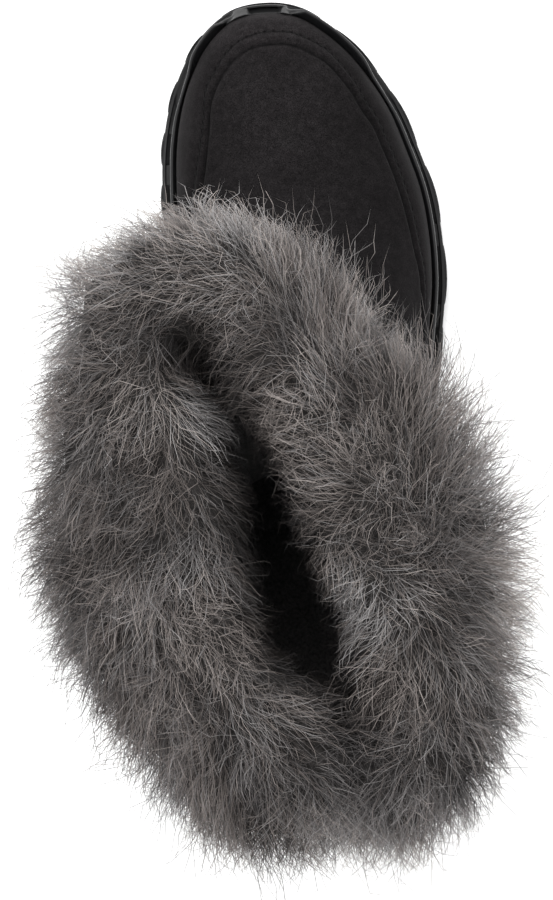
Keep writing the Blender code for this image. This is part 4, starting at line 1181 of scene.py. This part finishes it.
def build_fur():
    n = 120
    around = 2 * n
    low = stations(FEATHER, n)
    tops = np.arange(150.0, 232.1, 4.1)
    table = [(float(i), *row) for i, row in enumerate(SWEEP_RINGS)]
    ring_z = np.array([r[2] for r in SWEEP_RINGS])
    levels = []
    for z in tops:
        x = float(np.interp(z, ring_z[11:], np.arange(11, 17)))
        row = (z, sweep_row(x)[1], z)
        levels.append(surface_ring(lambda q, z=z: np.full(np.shape(q), z), row, low, n))
    levels = np.array(levels)
    turn = np.roll(levels, -1, 1) - np.roll(levels, 1, 1)
    out = unit(np.cross(turn, np.array([0, 0, 1.0])))

    def wall(z):
        f = np.clip((z - tops[0]) / (tops[-1] - tops[0]), 0, 1) * (len(tops) - 1)
        i = int(min(f, len(tops) - 2))
        f -= i
        return levels[i] * (1 - f) + levels[i + 1] * f, unit(out[i] * (1 - f) + out[i + 1] * f)

    turns = (180 - 180 * np.arange(around) / n) % 360
    reach = 0.98 * along(FUR_REACH, turns, 1) * along(CORE_FULLNESS, turns, 1)
    rings = []
    for part, z in CORE_SECTION:
        w, o = wall(z)
        r = w + o * (reach * part)[:, None]
        r[:, 2] = z
        rings.append(r)
    first_inner = len(rings)
    for share, z in CORE_INNER:
        zz = min(z, SHAFT_TOP)
        lower = shaft_point(zz, n)
        uc, qc, s, c, b, a, m = (float(v) for v in shaft_axes(zz))
        d = lower - np.array([uc, qc])
        fore, side = d[:, 1] * c - d[:, 0] * s, d[:, 1] * s + d[:, 0] * c
        rel = fore / b
        wall_limit = np.abs(side) * (a - 3.5) / a
        edge = np.clip(along(MOUTH, rel, 2) + np.sign(side) * along(MOUTH, rel, 1), -wall_limit, wall_limit)
        side = side * (1 - share) + edge * share
        fore = fore * (b - 9.0 * share) / b
        rings.append(np.column_stack([uc + side * c - fore * s, qc + fore * c + side * s, np.full(around, z)]))
    hair_rings = len(rings)
    # back over the shaft's edge, clear of the leather
    for z, off in ((199.0, -UPPER_WALL - 0.5), (216.0, -UPPER_WALL - 0.5), (232.6, -UPPER_WALL - 0.5), (232.6, 0.5),
                   (216.0, 0.5), (196.0, 0.5), (174.0, 0.5), (153.0, 0.5)):
        w, o = wall(z)
        r = w + o * off
        r[:, 2] = z
        rings.append(r)
    core = np.array(rings)
    normal = ring_normals(core)
    lumps = 2.6 * layered_noise(core, 27.0, 21) + 1.3 * value_noise(core, 9.0, 22)
    fade = np.zeros(len(core))
    fade[1:first_inner + 3] = 1.0
    fade[0] = 0.3
    fade[first_inner + 3:hair_rings] = 0.3
    core = core + normal * (lumps * fade[:, None])[..., None]
    quads = loft_faces(len(core), around, True)
    flat = core.reshape(-1, 3)
    mesh_object("fur_backing", flat, [quads], [BACKING], replaces="fur_collar")

    # smooth normals for the walk
    normal = ring_normals(core)
    vn = normal.reshape(-1, 3)
    face_n = unit(vn[quads].mean(1))
    tree = BVHTree.FromPolygons([tuple(v) for v in flat], [tuple(q) for q in quads.tolist()])

    def nearest(points):
        foot = np.empty_like(points)
        index = np.empty(len(points), int)
        find = tree.find_nearest
        for i, p in enumerate(points.tolist()):
            hit = find(p)
            foot[i] = hit[0]
            index[i] = hit[2]
        return foot, face_n[index]

    # roots, spread over the outer side, the crown and the inner side
    rng = np.random.default_rng(29)
    r_from = np.arange(hair_rings - 1)
    cell = quads.reshape(len(core), around, 4)[r_from]
    p = flat[cell]
    area = 0.5 * np.linalg.norm(np.cross(p[..., 2, :] - p[..., 0, :], p[..., 3, :] - p[..., 1, :]), axis=-1)
    weight = area.copy()
    weight[:6] *= 0.72
    weight[first_inner - 4:first_inner + 5] *= 1.2
    weight[first_inner + 5:] *= 0.30
    # more hair where it parts and leaves the backing bare
    mid = p.mean(2)
    mx, my = in_frame(mid.reshape(-1, 3))
    parting = 1 + 1.3 * np.exp(-(((mx - 412) / 30) ** 2 + ((my - 545) / 35) ** 2))
    weight = weight * parting.reshape(weight.shape)
    cumulative = np.cumsum(weight.ravel())

    def scatter(count):
        pick = np.searchsorted(cumulative, rng.random(count) * cumulative[-1])
        r, i = np.divmod(pick, around)
        s, t = rng.random(count), rng.random(count)
        c = cell[r, i]
        w = np.stack([(1 - s) * (1 - t), s * (1 - t), s * t, (1 - s) * t], 1)[..., None]
        return (flat[c] * w).sum(1), unit((vn[c] * w).sum(1)), r + t, i + s

    def walk(root, nrm, length, height, lift, free, swing, curl):
        """Five points along each hair: it leaves the backing and lies down with the pile."""
        steps = 4
        path = np.empty((steps + 1, len(root), 3))
        path[0] = root - nrm * 1.2
        x, face = root.copy(), nrm.copy()
        before = None
        for k in range(1, steps + 1):
            t = k / steps
            plan = pile_direction(x)
            ca, sa = np.cos(swing + curl * (t - 0.4)), np.sin(swing + curl * (t - 0.4))
            plan = np.stack([plan[:, 0] * ca - plan[:, 1] * sa, plan[:, 0] * sa + plan[:, 1] * ca], 1)
            side = np.clip(1.15 - face[:, 2] * 1.35, 0, 1)
            level = unit(face[:, :2])
            inward = np.minimum((plan * level).sum(1), 0) * side
            plan = plan - level * inward[:, None]
            f3 = np.column_stack([plan, np.zeros(len(plan))])
            tangent = f3 - face * (f3 * face).sum(1)[:, None]
            down = np.zeros_like(face)
            down[:, 2] = -1
            fall = down + face * face[:, 2:3]
            d = tangent * (1.0 - 0.35 * side[:, None]) + fall * (0.10 + 1.0 * side ** 1.5)[:, None]
            d = unit(d) + face * (lift * (1.0 - 0.75 * t))[:, None]
            d = np.where(free[:, None], unit(d) + down * 0.10 * t, d)
            d = unit(d)
            if before is not None:
                d = unit(d * 0.6 + before * 0.4)
            before = d
            x = x + d * (length / steps)[:, None]
            foot, fn = nearest(x)
            gap = ((x - foot) * fn).sum(1)
            want = height * (1 - (1 - t) ** 1.6)
            lying = (~free) & (fn[:, 2] > -0.15)
            x = np.where(lying[:, None], foot + fn * want[:, None], x)
            sunk = (~lying) & (gap < 0.8)
            x = np.where(sunk[:, None], foot + fn * 0.8, x)
            path[k] = x
            face = unit(np.where((gap > 14)[:, None] & free[:, None], face, fn))
        return path

    total = 49000
    tufts = total // 10
    locks = 520
    l_root = scatter(locks)[0]
    g_root, g_nrm, g_r, g_i = scatter(tufts)
    roots, nrms, rr, ii = scatter(total)

    def lookup(points):
        kd = KDTree(len(points))
        for i, v in enumerate(points.tolist()):
            kd.insert(v, i)
        kd.balance()
        return kd

    # each hair belongs to the nearest tuft, and each tuft and hair to a lock
    tuft_tree, lock_tree = lookup(g_root), lookup(l_root)
    owner = np.array([tuft_tree.find(v)[1] for v in roots.tolist()])

    def lock_of(points):
        near = [lock_tree.find_n(v, 2) for v in points.tolist()]
        index = np.array([a[0][1] for a in near])
        gap = np.array([a[1][2] - a[0][2] for a in near])
        return index, np.clip(1 - gap / 5.5, 0, 1)
    lock_swing = rng.normal(0, 0.36, locks)
    lock_high = rng.normal(0, 0.26, locks)
    lock_long = rng.normal(0, 0.12, locks)
    lock_tone = rng.normal(0, 0.085, locks)

    def edge_spikes(p):
        """More upright, spiky pile along some edges."""
        x, y = in_frame(p)
        near = np.exp(-(((x - 95) / 60) ** 2 + ((y - 265) / 70) ** 2))
        near += np.exp(-(((x - 500) / 45) ** 2 + ((y - 530) / 120) ** 2))
        near += 0.8 * np.exp(-(((x - 460) / 50) ** 2 + ((y - 400) / 40) ** 2))
        near += 0.6 * np.exp(-(((x - 300) / 60) ** 2 + ((y - 850) / 40) ** 2))
        near += 0.6 * np.exp(-(((x - 430) / 60) ** 2 + ((y - 860) / 40) ** 2))
        return np.clip(near, 0, 1)

    def bridging(p, r):
        """Hair that crosses the mouth where the two sides of the collar meet."""
        x, y = in_frame(p)
        crown = np.exp(-((r - first_inner - 3.0) / 2.2) ** 2)
        return crown * (1 - step(y, 370, 430)) + crown * step(y, 700, 740)

    def describe(p, r, guide):
        n_ = len(p)
        spikes = edge_spikes(p)
        lock, border = lock_of(p)
        low_side = 1 - step(r, 1.0, 6.0)
        broad = layered_noise(p, 22.0, 31)
        inner = step(r, first_inner + 3.5, first_inner + 6.0)
        loose = np.clip(1.15 - 1.25 * pile_direction(p, True), 0, 1)
        if guide:
            kind = np.ones(n_, int)
            length = rng.uniform(15, 23, n_)
        else:
            kind = rng.choice([0, 1, 2], n_, p=[0.40, 0.52, 0.08])
            length = np.where(kind == 0, rng.uniform(8, 14, n_), rng.uniform(13, 24, n_))
            length = np.where(kind == 2, length * 1.25, length)
        length = length * (1 + 0.14 * broad + lock_long[lock]) * (1 - 0.40 * inner) * (1 - 0.15 * low_side)
        # the hairs round the widest part stand out a little further
        brim = np.exp(-((r - 6.0) / 2.6) ** 2)
        px, py = in_frame(p)
        corner = np.exp(-(((px - 92) / 26) ** 2 + ((py - 300) / 30) ** 2))
        length = length * (1 + 0.16 * spikes) * (1 + 0.42 * brim) * (1 + 0.50 * corner)
        height = np.where(kind == 0, rng.uniform(2.5, 6.5, n_), rng.uniform(4.5, 11.5, n_))
        height = height * (1 + 0.30 * broad + lock_high[lock]) * (1.12 - 0.50 * border) * (1 - 0.45 * inner)
        lift = np.where(kind == 0, 0.55, 0.65) + 0.25 * spikes + 0.35 * loose + 0.22 * brim + rng.normal(0, 0.15, n_)
        chance = np.where(kind == 2, 1.0, 0.30 + 0.45 * spikes + 0.4 * bridging(p, r) + 0.2 * loose + 0.25 * brim)
        free = rng.random(n_) < chance * (1 - 0.6 * low_side)
        lift = np.where(kind == 2, lift + rng.uniform(-0.1, 0.45, n_), lift)
        swing = 0.42 * layered_noise(p, 15.0, 37) + lock_swing[lock]
        stray = rng.normal(0, 1, n_) * (np.where(kind == 2, 0.90, np.where(kind == 0, 0.80, 0.58)) + 1.3 * loose)
        return kind, length, height, lift, free, swing, stray, lock, border, loose

    gk, gl, gh, glift, gfree, gswing, gstray, glock, gborder, gloose = describe(g_root, g_r, True)
    gcurl = rng.normal(0, 0.55, tufts)
    guide = walk(g_root, g_nrm, gl, gh, glift, gfree, gswing + 0.8 * gstray, gcurl)
    kind, length, height, lift, free, swing, stray, lock, border, loose = describe(roots, rr, False)
    # hairs of one tuft lie much the same way
    swing = swing + stray * 0.85 + np.where(kind == 2, 0.0, 0.8 * gstray[owner])
    curl = rng.normal(0, 0.95, total) + 0.8 * gcurl[owner]
    free = np.where(kind == 2, free, np.where(rng.random(total) < 0.7, gfree[owner], free))
    height = np.where(kind == 1, 0.5 * height + 0.5 * gh[owner], height)
    path = walk(roots, nrms, length, height, lift, free, swing, curl)

    # draw the hairs of a tuft together towards the tip
    pull = rng.uniform(0.0, 0.62, tufts)[owner] * np.where(kind == 2, 0.1, np.where(kind == 0, 0.6, 1.0))
    pull = pull * (1 - 0.8 * loose)
    off = roots - g_root[owner]
    ratio = np.clip(length / gl[owner], 0.3, 1.25)
    for k in range(1, 5):
        t = k / 4
        at = np.clip(t * ratio, 0, 1) * 4
        j = np.minimum(at.astype(int), 3)
        f = (at - j)[:, None]
        target = guide[j, owner] * (1 - f) + guide[j + 1, owner] * f + off * (1 - 0.55 * t)
        w = (pull * t ** 1.2)[:, None]
        path[k] = path[k] * (1 - w) + target * w
    # waves and bends in each hair
    bend = rng.normal(0, 1, (total, 3))
    size = np.where(kind == 2, 1.35, np.where(kind == 0, 0.8, 1.0))[:, None]
    for k, amp, arc in ((1, 0.38, 0.15), (2, 0.70, 0.40), (3, 0.80, 0.25), (4, 1.00, -0.75)):
        path[k] += (rng.normal(0, 1, (total, 3)) * amp + bend * arc) * size

    # the hairs stand back from the parting on both sides
    rows = np.array(PARTING, float)
    fine = np.linspace(0, len(rows) - 1, 240)
    px, py, pw = (np.interp(fine, np.arange(len(rows)), rows[:, c]) for c in range(3))
    tx, ty = np.gradient(px), np.gradient(py)
    size = np.hypot(tx, ty)
    tx, ty = tx / size, ty / size

    def beside(p):
        """Signed distance from the parting's middle in the camera's frame, its half width, its direction."""
        x, y = in_frame(p)
        index = np.empty(len(x), int)
        for k in range(0, len(x), 8000):
            index[k:k + 8000] = ((x[k:k + 8000, None] - px) ** 2 + (y[k:k + 8000, None] - py) ** 2).argmin(1)
        dx, dy = x - px[index], y - py[index]
        side = dx * ty[index] - dy * tx[index]
        near = (np.hypot(dx, dy) < 60) & (np.abs(dx * tx[index] + dy * ty[index]) < 3)
        return side, pw[index], index, near
    own, own_half, _, _ = beside(roots)
    outside = np.abs(own) > 0.55 * own_half
    hold = 0.05 + 0.90 * rng.random(total) ** np.where(own < 0, 1.0, 1.8)
    hold = np.where(kind == 2, 0.95, hold)
    for k in range(1, 5):
        side, half, index, near = beside(path[k])
        facing = np.sign(own)
        reach_in = half - side * facing
        wanted = half * (1 - hold * (1 - np.exp(-np.maximum(reach_in, 0) / half)))
        shift = np.where(outside & near & (reach_in > 0), wanted * facing - side, 0.0) * step(half, 3.5, 9.0)
        mm = shift / camera_scale(path[k][:, 2])
        path[k][:, 0] += mm * ty[index]
        path[k][:, 1] += mm * tx[index]

    # hairs that lean over the parting are in its shadow
    shadow = np.zeros(total)
    for k in (2, 3, 4):
        side, half, index, near = beside(path[k])
        far = np.maximum(np.abs(side) - half, 0)
        shadow += np.where(near, np.exp(-(far / parting_shade(side, py[index])) ** 2) * step(half, 0.2, 3.5), 0.0) / 3
    lit = 1 - 0.80 * shadow

    # no hair stands further out than the pile's reach
    def limit(v, lo, soft_lo, soft_hi, hi):
        over = np.maximum(v - soft_hi, 0) / (hi - soft_hi)
        under = np.maximum(soft_lo - v, 0) / (soft_lo - lo)
        v = np.where(over > 0, soft_hi + (hi - soft_hi) * np.tanh(over), v)
        return np.where(under > 0, soft_lo - (soft_lo - lo) * np.tanh(under), v)
    path[..., 0] = limit(path[..., 0], CENTRE_X - 89.0, CENTRE_X - 81.0, CENTRE_X + 81.0, CENTRE_X + 89.0)
    path[..., 1] = limit(path[..., 1], HEEL_BACK_Y - 168.0, HEEL_BACK_Y - 160.0, 400.0, 500.0)
    path[..., 2] = limit(path[..., 2], -100.0, -50.0, 256.0, 265.0)

    # tone: the zone (own tone with painted light and shade), the lock, the tuft and the hair itself
    fx, fy = in_frame(roots)
    zone = np.zeros(total)
    for x, y, radius, value in PILE_TONE_AND_LIGHT:
        zone += value * np.exp(-((fx - x) ** 2 + (fy - y) ** 2) / (2 * radius ** 2))
    tone = 0.565 + zone + 0.10 * layered_noise(roots, 12.0, 41) + rng.normal(0, 0.085, tufts)[owner]
    # painted shade: darker where the backing dips, by the noise of its lumps, and at the borders between locks
    tone = tone + 0.05 * layered_noise(roots, 27.0, 21) + lock_tone[lock] - 0.12 * border + rng.normal(0, 0.068, total)
    tone = tone - np.where(kind == 0, 0.09, 0.0) + np.where(kind == 2, 0.05, 0.0)
    # painted light: hairs round the widest part of the collar are lighter
    brim = np.exp(-((rr - 5.0) / 2.8) ** 2)
    tone = tone + 0.10 * brim
    # the long strands that stand out at the brim are dark
    tone = np.where(kind == 2, tone * (1 - 0.55 * brim), tone)
    tone = tone + np.where(rng.random(total) < 0.12, 0.11, 0.0)
    tone = np.where(rng.random(total) < 0.12, tone * 0.62, tone)
    # painted shade: hairs deep on the inner wall and hairs over the parting are darker; the hairs low on the outer
    # side are darker too
    deep = step(rr, first_inner + 3.5, first_inner + 6.5)
    tone = tone * (1 - 0.80 * deep) * (1 - 0.35 * (1 - step(rr, 0.0, 3.0))) * (1 - 0.55 * shadow)
    # sixteen tones, each in a cooler and a browner hue
    brown = 0.5 + 0.55 * layered_noise(roots, 16.0, 51) + rng.normal(0, 0.28, locks)[lock]
    brown = rng.random(total) < np.clip(brown, 0.04, 0.96)
    tone = (2 * np.floor(np.clip(tone, 0.01, 0.99) * 16) + brown + 0.5) / 32

    width = np.where(kind == 0, rng.uniform(0.072, 0.108, total), rng.uniform(0.062, 0.106, total))
    width = np.where(kind == 2, rng.uniform(0.052, 0.084, total) * (1 + 0.45 * brim), width) * (1 + 0.3 * (1 - step(rr, 2.5, 5)))

    def spindles(ids, segments):
        """Closed, three-sided hairs, pointed at both ends."""
        m = len(ids)
        t = np.linspace(0, 1, segments + 1)
        at = t * 4
        j = np.minimum(at.astype(int), 3)
        f = (at - j)[:, None, None]
        line = path[j][:, ids] * (1 - f) + path[j + 1][:, ids] * f
        tangent = unit(np.gradient(line, axis=0))
        ref = unit(rng.normal(0, 1, (m, 3)))[None]
        a = unit(np.cross(tangent, ref))
        b = np.cross(tangent, a)
        size = width[ids][None, :] * np.interp(t, [0, 0.12, 0.4, 0.75, 1.0], [0.9, 1.0, 1.0, 0.72, 0.1])[:, None]
        verts = [line[0][:, None, :]]
        vs = [np.zeros((m, 1))]
        for k in range(1, segments):
            for c in range(3):
                ang = 2 * pi * c / 3
                verts.append((line[k] + (a[k] * cos(ang) + b[k] * sin(ang)) * size[k][:, None])[:, None, :])
                vs.append(np.full((m, 1), t[k]))
        verts.append(line[-1][:, None, :])
        vs.append(np.ones((m, 1)))
        per = 2 + 3 * (segments - 1)
        verts = np.concatenate(verts, 1).reshape(-1, 3)
        vcoord = np.concatenate(vs, 1).ravel()
        faces = []
        for c in range(3):
            d = (c + 1) % 3
            faces.append((0, 1 + d, 1 + c))
            for k in range(segments - 2):
                lo, hi = 1 + 3 * k, 4 + 3 * k
                faces.append((lo + c, lo + d, hi + d))
                faces.append((lo + c, hi + d, hi + c))
            end = 1 + 3 * (segments - 2)
            faces.append((end + c, end + d, per - 1))
        faces = np.array(faces)[None] + (np.arange(m) * per)[:, None, None]
        ucoord = np.repeat(tone[ids], per)
        # painted shadow: hairs over the parting keep the darker root colour further along
        vcoord = vcoord * np.repeat(lit[ids], per)
        return verts, faces.reshape(-1, 3), np.column_stack([ucoord, np.clip(vcoord, 0.01, 0.99)])

    # pieces by place: the front, the lateral side, the back, the medial side, and the inside
    turn = (180 - 180 * ii / n) % 360
    inside = rr > first_inner + 4.5
    zones = {
        "fur_inside": inside,
        "fur_front": ~inside & ((turn < 40) | (turn >= 320)),
        "fur_lateral": ~inside & (turn >= 40) & (turn < 100),
        "fur_back_lateral": ~inside & (turn >= 100) & (turn < 165),
        "fur_back": ~inside & (turn >= 165) & (turn < 230),
        "fur_back_medial": ~inside & (turn >= 230) & (turn < 278),
        "fur_medial": ~inside & (turn >= 278) & (turn < 320),
    }
    bent = kind > 0
    for name, mask in zones.items():
        sets = []
        for segments, chosen in ((3, ~bent), (4, bent)):
            ids = np.nonzero(mask & chosen)[0]
            if len(ids):
                sets.append(spindles(ids, segments))
        first = 0
        vv, ff, uu = [], [], []
        for v, f, u in sets:
            vv.append(v)
            ff.append(f + first)
            uu.append(u)
            first += len(v)
        ob = mesh_object(name, np.vstack(vv), [np.vstack(ff)], [FUR], uv=np.vstack(uu),
                         replaces="fur_collar")
        print(name, len(ob.data.polygons))


# ------------------------------------------------------------------ the stage
def stage():
    me = bpy.data.meshes.new("floor")
    s = 6.0
    me.from_pydata([(-s, -s, -0.0002), (s, -s, -0.0002), (s, s, -0.0002), (-s, s, -0.0002)], [], [(0, 1, 2, 3)])
    ground = bpy.data.objects.new("floor", me)
    bpy.context.scene.collection.objects.link(ground)
    n = Nodes("floor_pale")
    n.set(Base_Color=(0.93, 0.93, 0.93, 1), Roughness=0.9, Specular_IOR_Level=0.1)
    n.shader.inputs["Emission Color"].default_value = (1, 1, 1, 1)
    n.set(Emission_Strength=0.22)
    me.materials.append(n.material)

    world = bpy.data.worlds.new("studio")
    world.use_nodes = True
    world.node_tree.nodes["Background"].inputs["Color"].default_value = (1, 1, 1, 1)
    world.node_tree.nodes["Background"].inputs["Strength"].default_value = 1.20
    bpy.context.scene.world = world

    def area(name, where, aim, size, power):
        light = bpy.data.lights.new(name, "AREA")
        light.shape = "DISK"
        light.size = size
        light.energy = power
        ob = bpy.data.objects.new(name, light)
        ob.location = where
        ob.rotation_mode = "QUATERNION"
        ob.rotation_quaternion = (Vector(aim) - Vector(where)).to_track_quat("-Z", "Y")
        ob.visible_camera = False
        bpy.context.scene.collection.objects.link(ob)
    area("key", (0.30, -0.80, 1.60), (0.0, 0.0, 0.15), 0.9, 20.0)

    cam = bpy.data.cameras.new("camera")
    cam.lens = 137.2
    cam.sensor_width = 36.0
    cam.clip_end = 20
    ob = bpy.data.objects.new("camera", cam)
    ob.location = (0.0027, 0.0152, 1.3)
    ob.rotation_euler = (0, 0, pi)
    bpy.context.scene.collection.objects.link(ob)
    bpy.context.scene.camera = ob
    bpy.context.scene.view_settings.view_transform = "Standard"
    bpy.context.scene.view_settings.look = "None"


build_upper()
build_midsole()
build_outsole()
build_insole()
build_fur()
stage()
